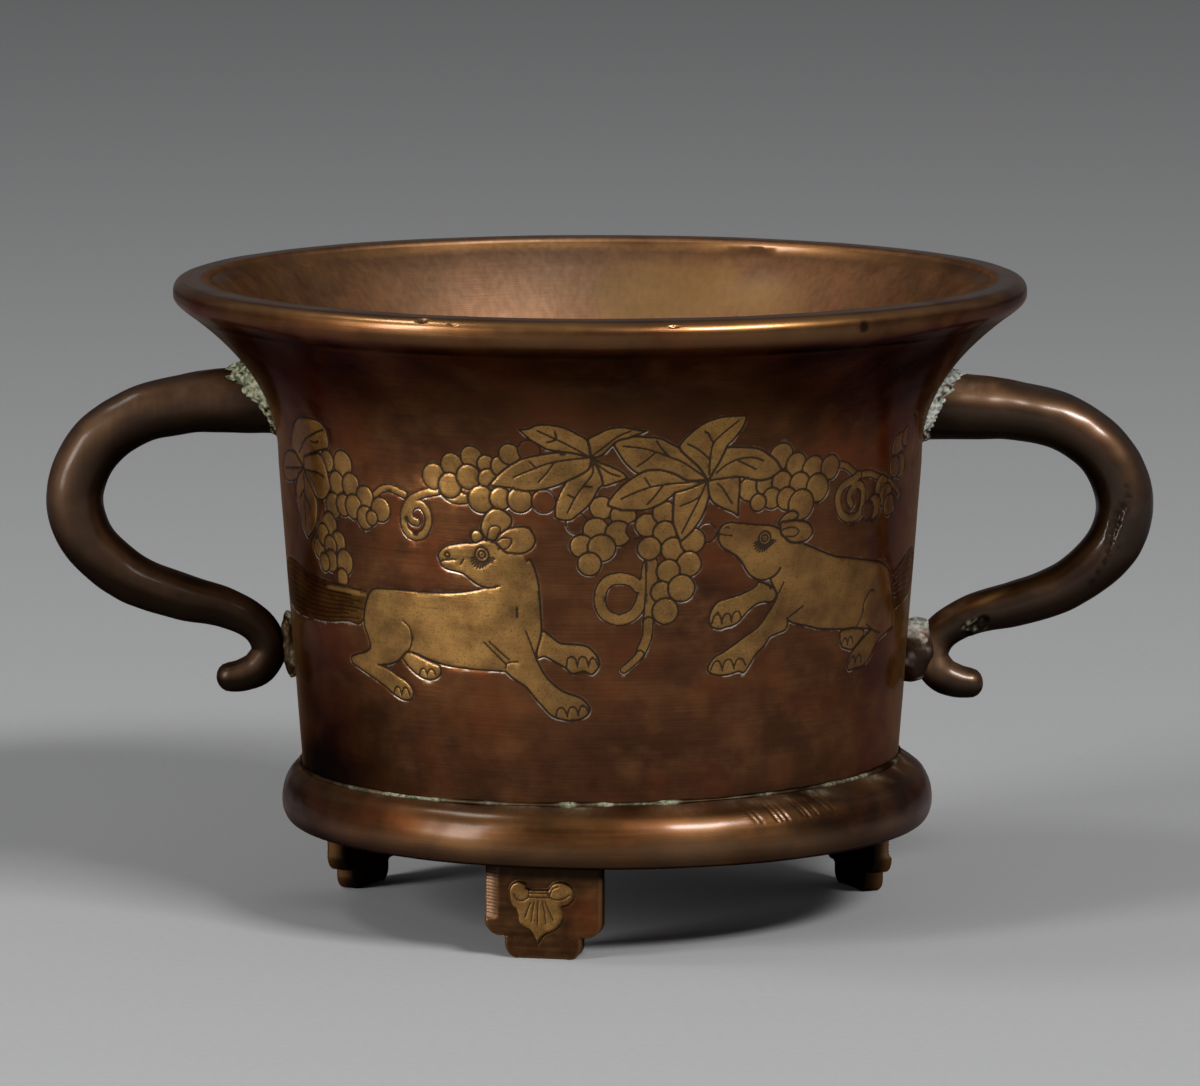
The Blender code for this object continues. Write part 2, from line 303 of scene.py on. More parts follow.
def smooth_line(points, closed=False, step=0.25):
    """A smooth line through points, as an array of close points. Doubled points are corners."""
    if isinstance(points, np.ndarray):
        return points
    if isinstance(points, str):
        points = points_of(points)
    p = np.array(points, float)
    count = len(p)
    runs = []
    for i in range(count if closed else count - 1):
        b, c = p[i], p[(i + 1) % count]
        length = math.dist(b, c)
        if length < 1e-6:
            continue
        a = p[i - 1] if closed or i else b
        d = p[(i + 2) % count] if closed or i + 2 < count else c
        t = np.linspace(0, 1, int(length / step) + 2)[:-1, None]
        runs.append(
            0.5 * (2 * b + (c - a) * t + (2 * a - 5 * b + 4 * c - d) * t**2
                   + (3 * b - a - 3 * c + d) * t**3)
        )
    runs.append(p[:1] if closed else p[-1:])
    return np.concatenate(runs)


def circle(s, z, radius):
    """A closed round line."""
    turns = np.linspace(0, 2 * math.pi, 25)
    return np.stack([s + radius * np.cos(turns), z + radius * np.sin(turns)], axis=1)


print("points on a smooth line of 10 mm:", len(smooth_line("0,0 5,0 10,0")))

# %% the board of small squares
SHALLOWEST = 0.02


class Board:
    """A sheet of squares with four fields: raised height, cut lines, gilding and wear."""

    def __init__(self, left, right, low, high, square):
        self.left, self.low, self.square = left, low, square
        shape = (round((high - low) / square) + 1, round((right - left) / square) + 1)
        fields = [np.zeros(shape, np.float32) for _ in range(4)]
        self.raised, self.cut, self.gilt, self.worn = fields
        self.s = left + square * np.arange(shape[1])
        self.z = low + square * np.arange(shape[0])

    def window(self, line, margin):
        """The rows and columns of squares about a line."""
        low, high = line.min(axis=0) - margin, line.max(axis=0) + margin
        spans = []
        for axis, (start, count) in enumerate(((self.left, len(self.s)), (self.low, len(self.z)))):
            first = int(np.clip((low[axis] - start) / self.square, 0, count - 1))
            last = int(np.clip((high[axis] - start) / self.square + 2, first + 1, count))
            spans.append(slice(first, last))
        return spans[1], spans[0]

    def distance(self, lines, window, reach):
        """How far each square of a window is from the nearest of the lines, up to reach."""
        s, z = self.s[window[1]], self.z[window[0]]
        found = np.full((len(z), len(s)), reach, np.float32)
        for line in lines:
            for a, b in zip(line, line[1:]):
                i, j = np.searchsorted(s, (min(a[0], b[0]) - reach, max(a[0], b[0]) + reach))
                k, m = np.searchsorted(z, (min(a[1], b[1]) - reach, max(a[1], b[1]) + reach))
                if i == j or k == m:
                    continue
                ds, dz = s[None, i:j] - a[0], z[k:m, None] - a[1]
                along = b - a
                t = np.clip((ds * along[0] + dz * along[1]) / (along @ along + 1e-12), 0, 1)
                near = np.hypot(ds - t * along[0], dz - t * along[1])
                np.minimum(found[k:m, i:j], near, out=found[k:m, i:j])
        return found

    def inside(self, line, window):
        """Which squares of a window lie inside a closed line: an odd number of crossings."""
        s, z = self.s[window[1]], self.z[window[0]]
        crossings = np.zeros((len(z), len(s) + 1), np.int32)
        for a, b in zip(line, line[1:]):
            k, m = np.searchsorted(z, sorted((a[1], b[1])))
            if k == m:
                continue
            at = a[0] + (b[0] - a[0]) * (z[k:m] - a[1]) / (b[1] - a[1])
            np.add.at(crossings, (np.arange(k, m), np.searchsorted(s, at)), 1)
        return np.cumsum(crossings, axis=1)[:, :-1] % 2 == 1

    def read(self, field, s, z):
        """A field's value at points of the board, blended between the four nearest squares."""
        x = np.clip((s - self.left) / self.square, 0, len(self.s) - 1.001)
        y = np.clip((z - self.low) / self.square, 0, len(self.z) - 1.001)
        i, j = x.astype(int), y.astype(int)
        u, v = x - i, y - j
        return (
            field[j, i] * (1 - u) * (1 - v) + field[j, i + 1] * u * (1 - v)
            + field[j + 1, i] * (1 - u) * v + field[j + 1, i + 1] * u * v
        )

    def close_to_cuts(self, reach, depth=SHALLOWEST):
        """Squares within a reach of a line that is cut deeper than depth."""
        near = self.cut > depth
        size = max(1, round(reach / self.square))
        for axis in (0, 1):
            margin = [(size, size) if k == axis else (0, 0) for k in (0, 1)]
            spans = np.lib.stride_tricks.sliding_window_view(
                np.pad(near, margin), 2 * size + 1, axis=axis
            )
            near = spans.any(axis=-1)
        return near


# %% drawing with a chisel
# the chisel was held aslant: a cut is steep on the figure's side and slopes away outside it
STEEP = 0.7
SLOPING = 1.3
# half widths of an outline and of a fine line, and how far figures and tendrils stand out
OUTLINE = 0.23
FINE = 0.17
FIGURE_RISE = 0.010
BAND_RISE = 0.012


class Drawing(Board):
    """A board that is drawn on: figures, bands and lines."""

    def engrave(self, lines, width, depth):
        """Lines cut with a pointed tool: deepest in the middle."""
        for line in lines:
            line = smooth_line(line)
            window = self.window(line, width)
            near = self.distance([line], window, width)
            np.maximum(self.cut[window], depth * (1 - near / width), out=self.cut[window])

    def lay(self, window, inside, raised, gilt, worn, near, width, depth):
        """Covers what is under a figure, and cuts a slanting line where near is small."""
        self.raised[window][inside] = raised[inside]
        self.gilt[window][inside] = gilt
        self.worn[window][inside] = worn
        self.cut[window][inside] = 0
        slant = width * np.where(inside, STEEP, SLOPING)
        line = depth * np.clip(1 - near / slant, 0, 1)
        np.maximum(self.cut[window], line, out=self.cut[window])

    def figure(
        self, outline, strokes=None, gilt=1.0, worn=0.0, rise=FIGURE_RISE, soft=0.6,
        width=OUTLINE, depth=1.0
    ):
        """A raised figure that rounds off over soft, cut along strokes or all round."""
        edge = smooth_line(outline, closed=True)
        cuts = [smooth_line(stroke) for stroke in strokes] if strokes else [edge]
        window = self.window(edge, soft)
        near = self.distance(cuts, window, soft)
        raised = rise * (1 - (1 - near / soft) ** 2)
        self.lay(window, self.inside(edge, window), raised, gilt, worn, near, width, depth)

    def band(self, line, width):
        """A tendril: a narrow raised band with a cut line along both edges."""
        line = smooth_line(line)
        reach = width / 2 + FINE * SLOPING
        window = self.window(line, reach)
        away = self.distance([line], window, reach)
        raised = np.full(away.shape, BAND_RISE)
        near = np.abs(away - width / 2)
        self.lay(window, away < width / 2, raised, 1.0, 0.0, near, FINE, 1.0)


# %% the wall's board
PER_TURN = 40.0
HALF_PERIOD = PER_TURN * math.pi / 2
FRIEZE_LOW = 27.0
FRIEZE_HIGH = 70.5
SQUARE = 0.06
frieze = Drawing(-HALF_PERIOD, HALF_PERIOD, FRIEZE_LOW, FRIEZE_HIGH, SQUARE)
print("board of", frieze.cut.shape, "squares")

# %% [markdown]
# Tendrils, grapes and leaves. The vine hangs from the top of the frieze. Stems and curling
# tendrils come first, then the grapes, each a small dome with a cut ring, and then the leaves,
# whose lobes are separate figures that meet at the stalk. A few grapes have lost their gold.

# %% stems and tendrils
tendrils = [
    (1.0, "-20,58.3 -22.5,57.7 -24.4,56.8 -25.3,55.6 -25.6,54.3 -25.2,52.9 -24.1,52.3 -22.8,52.6"
           " -22,53.7 -21.9,55.1 -22.5,56.1 -23.3,56.4 -24.2,56 -24.6,55.2 -24.3,54.3 -23.6,54.1"),
    (0.9, "-30,57 -28.8,57.8 -27.3,58 -25.3,57.4"),
    (1.4, "5.9,49.6 5.6,47.5 5.2,45.4 4.4,43.8 3.2,43 1.9,42.9 .6,43.6 0,45 .2,46.6 1.1,47.7"
          " 2.6,48 4,47.6 4.7,46.9"),
    (1.4, "6.3,50 6.4,47 6.2,44 6,42.5"),
    (1.2, "6,42.5 5.8,40.5 5,38.5"),
    (0.9, "5,38.5 4.2,37.6 3,36.6"),
    (0.9, "32,60.6 33.5,60.3 35,59.4 36.2,58.9 38.5,58.8 41,58 44,57 46.5,55.5"),
    (1.1, "36.2,58.9 35,58.4 33,57.7 32.3,56.3 33,54.4 34.7,53.6 36.6,53.9 37.3,55.3 37.2,56.9"
           " 36.2,57.7 35,57.3 34.4,56.2 35,55.3"),
]
for width, route in tendrils:
    frieze.band(route, width)
print("tendrils:", len(tendrils))

# %% grapes
# each grape: its place, its size and a u where it is ungilt
GRAPE_FULL = 1.2
GRAPE_RISE = 0.022
GRAPE_ROUND = 0.7
GRAPE_LINE = 0.2
grapes = """
-39.1,60.3,1.2 -35.8,60.2,1.5 -37.3,57.7,1.3 -34.4,57.7,1.35 -31.9,56.5,1.25 -29.2,55.2,1.3
-38.3,54.8,1.4 -36.1,55.1,1.2 -34.1,55.1,1.3 -32,53.9,1.25 -30.8,54,.8 -42.5,49,1.1
-39.5,52.2,1.4 -41.2,50.8,1.2 -37.7,50.2,1.25 -39.6,49.5,1.2 -39.6,47.7,1.2 -36.6,47.8,1.4
-41.3,47.3,1 -37.3,45.8,1 41.5,56.8,1.3 42.7,55.6,1.3 40,54.5,1.3 38.6,54.2,1,u 43.8,54.3,1.2
45.5,61.5,1.5 46.5,59,1.4 47.8,62.6,1.2 44.8,59,1.2
-20.9,60,1.35 -18.3,61.6,1.25 -15.6,62.7,1.2 -18.7,59,1.3 -16.2,60.2,1.3 -13.8,61.9,.95
-13.6,60,1.1 -11.9,61.7,1.1 -14.6,57.5,1.4 -12.1,57.7,1.15 -9.7,57.6,1.3 -10.8,63.3,1.1
-8.4,63.8,1.1,u -6.8,57.5,1.2,u 22.8,62.4,1.4 25.2,61.2,1.25 27.9,60.4,1.4 30.7,60.4,1.3
18.6,58.5,1.2 20.9,58.9,1.1 23.2,59.1,1.2 25.9,58.6,1.3 28.7,58,1.5 21.8,57.2,1.1 19.9,56.8,.9
24,57,1.2 26.2,56.1,1.6 -2.8,54.8,1.1,u .2,56.8,1.2 2.8,55.8,1.3 -.5,54,1.3 2.2,53.6,1.3
-2.2,52,1.2 .2,51.8,1.4 -1.3,49.8,1.2 4.3,54,.9,u 13.2,53.4,1,u 5.7,54.6,1.2 7.8,56.1,1.2
7.9,53.6,1.2 6,51.7,1.2 8.9,51.5,1.2 11.4,52.5,1.3 11,49.6,1.3 8.4,48.8,1.2 7.6,46.2,1.1
10.1,46.6,1.4 8.1,43.8,1.35
"""
frieze.figure("-20,58.4 -16.5,58 -16.3,57 -18,56.8 -19.5,57.4", width=FINE)
for word in grapes.split():
    s, z, radius = (float(v) for v in word.rstrip(",u").split(","))
    frieze.figure(
        circle(s, z, radius * GRAPE_FULL),
        gilt=0.0 if word.endswith("u") else 1.0,
        rise=GRAPE_RISE,
        soft=radius * GRAPE_ROUND,
        width=GRAPE_LINE,
    )
print("grapes:", len(grapes.split()))

# %% leaves
# each lobe: its outline, then its veins
LOBE_RISE = 0.014
LOBE_ROUND = 0.9
lobes = [
    ("-45.3,61 -42,61 -39.8,58.6 -41.5,55.4 -44.5,52.5 -46.5,53.5 -49,56.6 -48.6,60",),
    ("-45.3,58.8! -47.4,57.4 -50,56.6 -53,56.4 -54.5,57.6! -53,59.4 -50.4,60.4 -47.5,60.2",
     "-45.3,58.8 -49,58.4 -53,57.9"),
    ("-45.3,58.8! -43,56 -42.2,55 -42.3,53.4 -43.2,51.6 -45.6,49.9! -46.8,51 -47.6,53 -48.6,55.4"
     " -47.4,57.4", "-45.4,58.2 -45.7,54.5 -46,51.5", "-45.6,55.5 -44,54", "-45.6,56 -47.2,54.8"),
    ("-45.3,58.8! -45.2,60.1 -42.6,60.8 -40.8,61 -39.6,59.8 -38.6,57! -40,55.6 -41.6,55.2 -43,56",
     "-45,58.6 -42,58.6 -40,58.2", "-44,58.3 -42.6,56.9 -41.8,55.7"),
    ("-45.3,58.8! -47.5,60.2 -49,61.5 -47.2,63.4 -44.6,65 -42,65.5 -39,65.3 -38,64.3! -38.3,62.2"
     " -40.2,61.6 -42.5,61 -45.2,60.2", "-46.5,60.6 -44,62.4 -41,63.6 -38.6,64.3",
     "-42.6,62.5 -41.4,62.4 -40.4,62.7"),
    ("50.5,58! 49,60.5 47.5,63 47,65.5! 49.5,65 51.5,63 52.3,60.5", "50.5,58 50,61.5 48,64.4"),
    ("50.5,58! 52.3,60.5 55,61.5 58,61! 56.5,58.5 54,57", "50.5,58 53.5,59.5 56.5,60.4"),
    ("50.5,58! 54,57 54.5,54.5 53,52! 51,53.5 49.8,56", "50.5,58 52.4,55.6 52.8,53.2"),
    ("1.5,64.9! 2.5,65.5 3.9,65.7 5.4,65.6 7,65.4 8.3,64.7 9.5,64 10.8,62.7 12.1,61.5 13.2,60.1!"
     " 10.8,59.9 9,60.8 7.5,61.3 5.8,61.3 4.5,61.1 3.2,62.2 2.3,63.5",
     "2.7,64.5 5,64.2 6.6,63.7 8.3,63 10.1,62.2 13.2,60", "6.6,63.7 5.4,62.6 4.4,61.9",
     "8.3,63 7.2,64.2 6.6,65.1"),
    ("-1.1,63! -1.4,65.2 -.3,66 1,66.7 2.6,66.9 4,66.6 5.3,66.4! 3.6,65.7 2,65.2 1.2,64.4 .2,63.4",
     "-1,63.2 .6,64.5 2,65.7 3.4,66.4"),
    ("-9.3,66.5! -8.2,66.6 -7.2,67.1 -5.6,67.15 -4,66.8 -2.6,66 -1.5,65.2 -1.1,63! -3.5,63.6"
     " -6,64 -6.8,64.4 -8.2,65.3", "-7.2,66.4 -5,65.3 -3,64.2 -1.2,63.1", "-5,65.3 -5.2,66.4",
     "-5,65.3 -6.2,64.9"),
    ("-1.1,63! .2,62.3 1.5,61.8 2.6,61.2 3.3,60.5! 2,60 .8,59.6 .3,59.7 -.3,61.3",
     "-1,62.8 1,61.2 2.4,60.7"),
    ("-1.1,63! -3,61.2 -3.9,60.1! -4.8,58.5 -5.3,57 -5.4,55.6! -4.7,55.3 -3.6,55.3 -2.6,56"
     " -1.5,57 -.8,58 -.2,59.2 .3,59.8 -.2,61.5", "-.9,62.5 -.9,61 -2,59.5 -3,58 -3.9,56.2",
     "-2,59.5 -1,59.4", "-3,58 -3.9,58.4"),
    ("-13.6,59.2! -12,60.9 -10.5,62 -9,62.8 -7,63.3 -5.3,63.6 -3.5,63.6 -1.1,63! -1.5,61.5"
     " -4,60.1! -5,59.6 -7,59 -9,58.8 -11,59.1 -12.6,59.2",
     "-10.5,60.4 -8,61.5 -6,62.3 -3.5,62.8 -1.5,63", "-5.4,62.4 -6.5,60.9 -7.4,59.9",
     "-7.6,61.6 -8.4,62.4"),
    ("1,57.1! 1.1,57.6 1.9,58.7 3,59.8 4.3,60.7 5.5,61.3 6.8,61.4 7.5,61.3 9,60.8 10.8,59.9"
     " 13.2,59.9! 11,59 9,58.5! 7.9,57.6 6.8,57 5.4,56.5 3.9,56.5 2.5,56.6",
     "2.5,57.9 4.3,58.7 6.1,59.3 7.9,59.6 9.7,59.7 13.2,59.8", "7.5,59.4 6.6,58.2 5.7,57.2",
     "6.1,59.3 5.4,60.4"),
    ("13.2,59.9! 11,59 9,58.5! 8.9,57 8.9,55 9.2,54 9.8,52.5! 10.5,53 11.5,54 12.5,55.5"
     " 13.2,57.5 13.4,59", "12.9,59.5 12,57.5 11,55.5 10,53.5", "12.2,58 11.2,57.4 9.8,56.9"),
    ("13.2,59.9! 15,60.1 17,60.6 17.3,59 17.2,57.5 17.2,55.3! 16.5,55.8 15,56.5 13.8,57.3"
     " 13.3,58.5", "14.4,59.5 15.2,58.7 16,57.4 16.4,56.9"),
    ("13.2,59.9! 13.8,61 14.4,62 15,63.4 15.3,63.9 16.5,63.9 18,63.8 19.6,63.5 21,62.7 22.2,61.8"
     " 23,60.7! 21.5,59.8 20,59.6 18.5,59.9 17,60.2 15,60.1",
     "14.2,60.8 15.5,61.8 17,62.4 18.8,62.5 20.4,62", "17,62.2 18.4,61.5 19.4,61"),
    ("13.2,59.9! 12.1,61.5 10.8,62.7 9.5,64 9.6,64.8 10.6,66 12,67.2 13.8,67.9 15.5,68 16.9,68!"
     " 17,67.4 16.8,66.4 16,65 15.3,64.2 15,63.4 14.4,62 13.8,61",
     "13.3,60.6 13.3,63 13.5,64.6 14.3,65.6 15.3,66.6 16.2,67.4", "10.4,64.6 11.8,63.8 13.2,62.6",
     "13.5,64.6 12.6,66"),
]
# the leaf at the far right is faded: its stalk, and its gold, outline depth and vein depth
FADED_STALK = "50.5,58!"
FADED, FRESH = (0.25, 0.36, 0.34), (1.0, 1.0, 1.0)
for outline, *veins in lobes:
    gilt, depth, vein_depth = FADED if outline.startswith(FADED_STALK) else FRESH
    frieze.figure(outline, gilt=gilt, rise=LOBE_RISE, soft=LOBE_ROUND, depth=depth)
    frieze.engrave(veins, FINE, vein_depth)
print("leaf lobes:", len(lobes))

# %% [markdown]
# The squirrels. Both are drawn from back to front: the tail, the paws of the far side, the
# body with the near legs, then ears and head. A head has no line where it joins the neck, so
# its figure is filled all round but cut only along the part that shows. The gold on the tails
# is worn away, so their combed hair lines are left, and a thin strip on top of the left one.

# %% a tail and the hair lines between its two edges
HAIR_POINTS = 40
HAIR_WIDTH = 0.15
HAIR_DEPTH = 0.85


def even_points(text):
    """A line as a fixed number of points at even distances."""
    line = smooth_line(text)
    gone = np.concatenate([[0], np.cumsum(np.hypot(*np.diff(line, axis=0).T))])
    at = np.linspace(0, gone[-1], HAIR_POINTS)
    return np.stack([np.interp(at, gone, line[:, k]) for k in (0, 1)], axis=1)


def tail(board, upper, lower, hairs, **metal):
    """A tail between its upper and its lower edge, with hair lines of uneven length along it."""
    board.figure(points_of(upper) + points_of(lower)[::-1], **metal)
    top, bottom = even_points(upper), even_points(lower)
    for i in range(1, hairs + 1):
        share = i / (hairs + 1)
        start, stop = (i * 7) % 5, HAIR_POINTS - 2 - (i * 5) % 7
        board.engrave([(top + (bottom - top) * share)[start:stop]], HAIR_WIDTH, HAIR_DEPTH)


# %% left squirrel: tail, far paws and body
tail(
    frieze,
    "-32.3,44.2 -36,44.8 -41,45 -46,45.4 -51,46.2 -56,46 -60,44.5 -61.5,42.5",
    "-33.8,40.6 -37,40.4 -42,39.8 -48,39.6 -54,39.8 -59,40.8 -61.5,42.5",
    8, gilt=0.3, worn=0.8, depth=0.8,
)
frieze.figure("-41,44.4 -37,44.6 -33,44.3 -33,43.9 -37,44 -41,44.1", width=0.1, depth=0.3)
frieze.figure(
    "-26.9,37 -25.8,37.6 -22.5,36.6 -21.2,36.2 -21,35.5 -21.5,34.8 -22.6,34.4 -24,34.6"
    " -25.3,35.3 -26.4,36.2"
)
frieze.figure(
    "-7.25,41.2 -5.75,40.4 -4.75,39.8 -2,39.6 -.75,38.75 -.1,37.6 -.2,36.9 -1,36 -2,36.4"
    " -3.5,36.1 -4.25,36.75 -5.75,37.6 -7,38.2 -7.9,38.1"
)
frieze.engrave(
    ["-24.3,34.8 -24,35.6 -23.4,35.7 -23.1,34.9", "-23.1,35.1 -22.7,35.7 -22.1,35.6 -21.8,35",
     "-4.2,36.8 -4,38 -3.2,38.1 -2.8,36.9", "-2.8,37.2 -2.5,38.1 -1.8,38.1 -1.4,36.9",
     "-1.4,37.2 -1.1,38 -.6,37.9 -.3,37.2"], FINE, 0.9
)
frieze.figure(
    "-31.3,45 -28,45.3 -24,45.35 -20,45.45 -17,45.8 -14.4,46.4 -12.6,46.8 -11,48 -9.5,49.5"
    " -8.6,50.2 -8.1,49.2 -7.7,47.8 -7.5,46.2 -7.4,44 -7.3,41.6 -7.6,40 -8.1,38.2 -7.7,37.2"
    " -7,35.9 -6,34.8 -5,34 -3.8,33.5 -2.6,33.1 -1.8,32.5 -1.3,31.7 -1.6,30.9 -2.5,30.4 -3.8,30.2"
    " -5.2,30.4 -6.2,30.8 -7.3,31.9 -8.3,33 -9.3,34.2 -10.2,34.8 -11.2,35.4 -12,36.1! -14,36.15"
    " -17,36.2 -20,36.4 -22.5,36.9 -25,37.6 -26.2,37.6 -27,36.9 -28,36.2 -29.6,35.7 -31.3,35.5!"
    " -29.6,35.2 -28,34.5 -26.4,33.8 -25.6,33 -25.4,32.2 -26,31.6 -27,31.5 -28.3,31.9 -30,32.8"
    " -32,33.7 -34.5,34.6 -36.2,35.2 -36.4,35.9 -35.2,36.4 -33.4,36.9 -32.4,37.6 -32.7,38.9"
    " -33.3,40.2 -33.2,41.8 -32.5,43.6"
)
frieze.engrave(
    ["-26.5,41.5 -25.5,40.75 -25.2,39.5 -25.5,38.25 -26.25,37.5 -27,36.9",
     "-14.75,39.6 -13.25,38.25 -12,37.1", "-14.1,39.75 -12.75,38.6 -11.5,37.6",
     "-12,36.5 -11.7,37.2 -10.4,37.4", "-8.1,38.1 -8.6,39.5 -9.3,41.3", "-10.4,43 -10.4,44.2",
     "-5.6,30.6 -5.3,31.6 -4.6,31.7 -4.1,30.6", "-4.1,30.9 -3.8,31.8 -3.1,31.8 -2.7,30.8",
     "-2.7,31.1 -2.4,32 -1.8,31.9 -1.5,31.3", "-28.7,32.1 -28.3,32.9 -27.7,33 -27.3,32",
     "-27.3,32.2 -26.9,33 -26.3,32.9 -26,32"], FINE, 0.9
)
print("left squirrel's body drawn")

# %% an eye
EYE_RING = 0.19
EYE_HAIR = 0.16
PUPIL = 0.04


def eye(board, s, z, radius):
    """Two rings, a dot for the pupil and short hairs under it."""
    board.engrave([circle(s, z, radius), circle(s, z, radius * 0.5)], EYE_RING, 1.0)
    board.engrave([circle(s, z, PUPIL)], EYE_HAIR, 1.0)
    for degrees in range(-160, -15, 12):
        turn = math.radians(degrees)
        reach = radius + 0.75 + 0.25 * math.sin(degrees)
        hair = [(s + r * math.cos(turn), z + r * math.sin(turn)) for r in (radius + 0.2, reach)]
        board.engrave([hair], EYE_HAIR, 1.0)


# %% left squirrel: ears and head
frieze.figure(
    "-14.7,53.7 -14.6,54.6 -14.2,55.4 -13.4,56.2 -12.6,56.4 -11.8,56.2 -11.2,55.8 -10.8,55.3"
    " -10.9,54.5 -11.3,54 -12.6,52.6 -14,52.6"
)
frieze.engrave(
    ["-14,52.4 -13.9,53.2 -13.6,54 -12.9,54.3 -12.4,54.2 -12.2,53.8 -12.6,53.1 -12.8,52.3"],
    FINE, 0.8
)
frieze.figure(circle(-15.3, 52.8, 0.8), soft=0.8)
HEAD_LEFT = (
    "-12.7,46.8 -13.8,46.5 -14.6,46.6 -15.5,46.9 -16.4,47.5 -17.3,48.1 -18.4,48.35 -19.4,48.5"
    " -20.2,48.9 -20.5,49.5 -20.7,50.2 -20.2,50.9 -19.3,51.4 -18,51.7 -16.8,51.9 -15.5,51.95"
    " -14.7,52.3 -13.8,52.35 -12.9,52.1"
)
frieze.figure(HEAD_LEFT + " -10.5,51.5 -9.2,50.4 -9.2,48.6 -10.5,47", strokes=[HEAD_LEFT])
eye(frieze, -14.7, 50.6, 0.92)
frieze.engrave(
    [circle(-19.4, 50.3, 0.32), "-20.3,49.5 -19.3,49.7 -18.3,49.8", "-17.6,49.2 -17.2,49.9"],
    FINE, 1.0
)
frieze.figure(
    "-12.8,52.2 -12.6,52.8 -12,53.4 -11.2,53.9 -10.2,54.2 -9.3,54.25 -8.6,54.1 -8.2,53.5 -7.9,52.8"
    " -8,52.2 -8.4,51.6 -9.2,51.1 -10.1,50.95 -11,51 -11.6,51.1"
)
frieze.engrave(
    ["-12.6,52.4 -12,52.8 -11.2,52.85 -10.8,52.6 -11,52 -11.5,51.5 -12.6,51.4"], FINE, 0.8
)
print("left squirrel's head drawn")

# %% right squirrel: tail, far legs and body
tail(
    frieze,
    "45.6,45.4 49,46.2 52,47.2 55.5,47.4 58.5,46.4 60.4,44.4",
    "47.4,41 50,40.8 53,41 56,41.6 58.6,42.8 60.4,44.4",
    7, gilt=0.25, worn=0.5, depth=0.7,
)
frieze.figure(
    "34.5,39.4 34.4,38.3 34.8,37.4 35.9,37 37,36.8 38.4,37.6 39.6,38.4 39.3,39 38.3,39.5 36.5,39.7"
)
frieze.figure(
    "20.7,46.8 20,46.3 19,45.8 17.8,45.4 16.4,45.05 15.2,44.8 14.4,44.2 13.9,43.2 13.8,42.4"
    " 14.2,41.6 15.2,41.3 16.2,41.5 17.4,41.8 18.4,42.7 19,43.3 20,44 21.2,44.3 22.6,44.3 23,45.6"
)
frieze.engrave(
    ["14.2,42 14.4,42.9 15.1,43.1 15.5,41.9", "15.5,42.2 15.8,43 16.5,43.1 16.8,42",
     "16.8,42.4 17.1,43.2 17.8,43.3 18.1,42.5", "34.8,37.7 35.1,38.3 35.7,38.3 36,37.5",
     "36,37.7 36.3,38.4 36.9,38.3 37.2,37.4"], FINE, 0.9
)
BACK = (
    "27,51.1 28.3,50.6 30,49.9 32.6,49 35,48.6 37.7,48.1 40.1,47.7 42.6,47.2 44.6,46.3 45.4,45.6"
    " 46.3,44.1 47,42.6 47.7,40.8 48.1,39.2 48.3,38.3! 47,38.1 45.4,37.7 43.7,37.2 42.3,36.1"
    " 41.2,35 39.9,34.4 38.1,34.3 36.6,34.2 36.3,35.2 36.6,36 37.4,36.7 39,37.7 40.3,38.3"
    " 41.4,38.8! 39.2,39.2 37,39.55 35,39.6 33,39.8 30,40.2 29,40.5 27,41 25.6,41.4 25,41.8!"
    " 24.8,40.6 23.6,40.2 22.4,39.8 21.6,38.8 20.4,37.8 19.6,36.6 18.8,35.6 18,35.8 16.6,35.5"
    " 15.2,35.5 14.2,35.8 13.8,36.2 13.9,36.8 14.6,37.7 15.8,38.3 17.2,39.1 18.8,40.1 20.6,41.2"
    " 21.8,42.6 22.8,44 23.2,45 22.6,46.2 22,47.2"
)
frieze.figure(BACK + " 22.8,50 24.5,51.6", strokes=[BACK])
frieze.engrave(
    ["37.7,39.6 38.8,40.9 39,42.3 39.7,43.2 40.6,43.9 41.4,43.7", "40.1,39.6 41.2,39 42.6,38.4"
     " 43.9,38.1", "24.8,41.9 27.4,43.3", "21.8,46.6 22.2,45.8", "23.4,45.2 24.1,46.5",
     "14.2,36.2 14.6,37.1 15.3,37.2 15.8,36", "15.8,36.4 16.1,37.2 16.9,37.3 17.4,36.1",
     "17.4,36.5 17.8,37.3 18.5,37.3 19,36.5", "36.5,35 37,35.8 37.7,35.8 38,34.8",
     "38,35 38.4,35.8 39.1,35.8 39.4,34.9"], FINE, 0.9
)
print("right squirrel's body drawn")

# %% right squirrel: ears and head
frieze.figure("22.9,53.8 23.4,54.7 24.4,55.3 25.3,55.3 25.8,54.8 25.4,54.4 24.4,54.1")
HEAD_RIGHT = (
    "24,52.75 23,53.35 22,53.75 20.6,53.95 19,54.15 17.6,54.35 16.2,54.55 15.3,54.3 14.9,53.9"
    " 14.7,53.2 14.8,52.2 15.4,51.4 16.4,50.8 17.2,50.3 18,49.4 18.8,48.2 19.6,47.5 20.6,47.1"
    " 21.6,47.1 22.6,47.5 23.2,48 23.4,48.4"
)
frieze.figure(HEAD_RIGHT + " 25.4,49.6 26,51.2 25,52.4", strokes=[HEAD_RIGHT])
eye(frieze, 21.0, 52.3, 0.85)
frieze.engrave(["14.8,53.2 15.6,53 16.5,52.9", "15.6,53.9 15.9,54 16.1,53.8"], FINE, 0.8)
frieze.figure(
    "23.3,54 24,54.1 25.2,54.15 26.6,54 27.6,53.6 28.2,52.8 28,52 27.2,51.5 26,51.4 24.8,51.6"
    " 24,52.2 23.4,52.75"
)
frieze.engrave(["23.6,53.2 24.8,53.4 25.8,53.1 26,52.7 25.4,52.2 24.2,52.3"], FINE, 0.8)
print("right squirrel's head drawn")

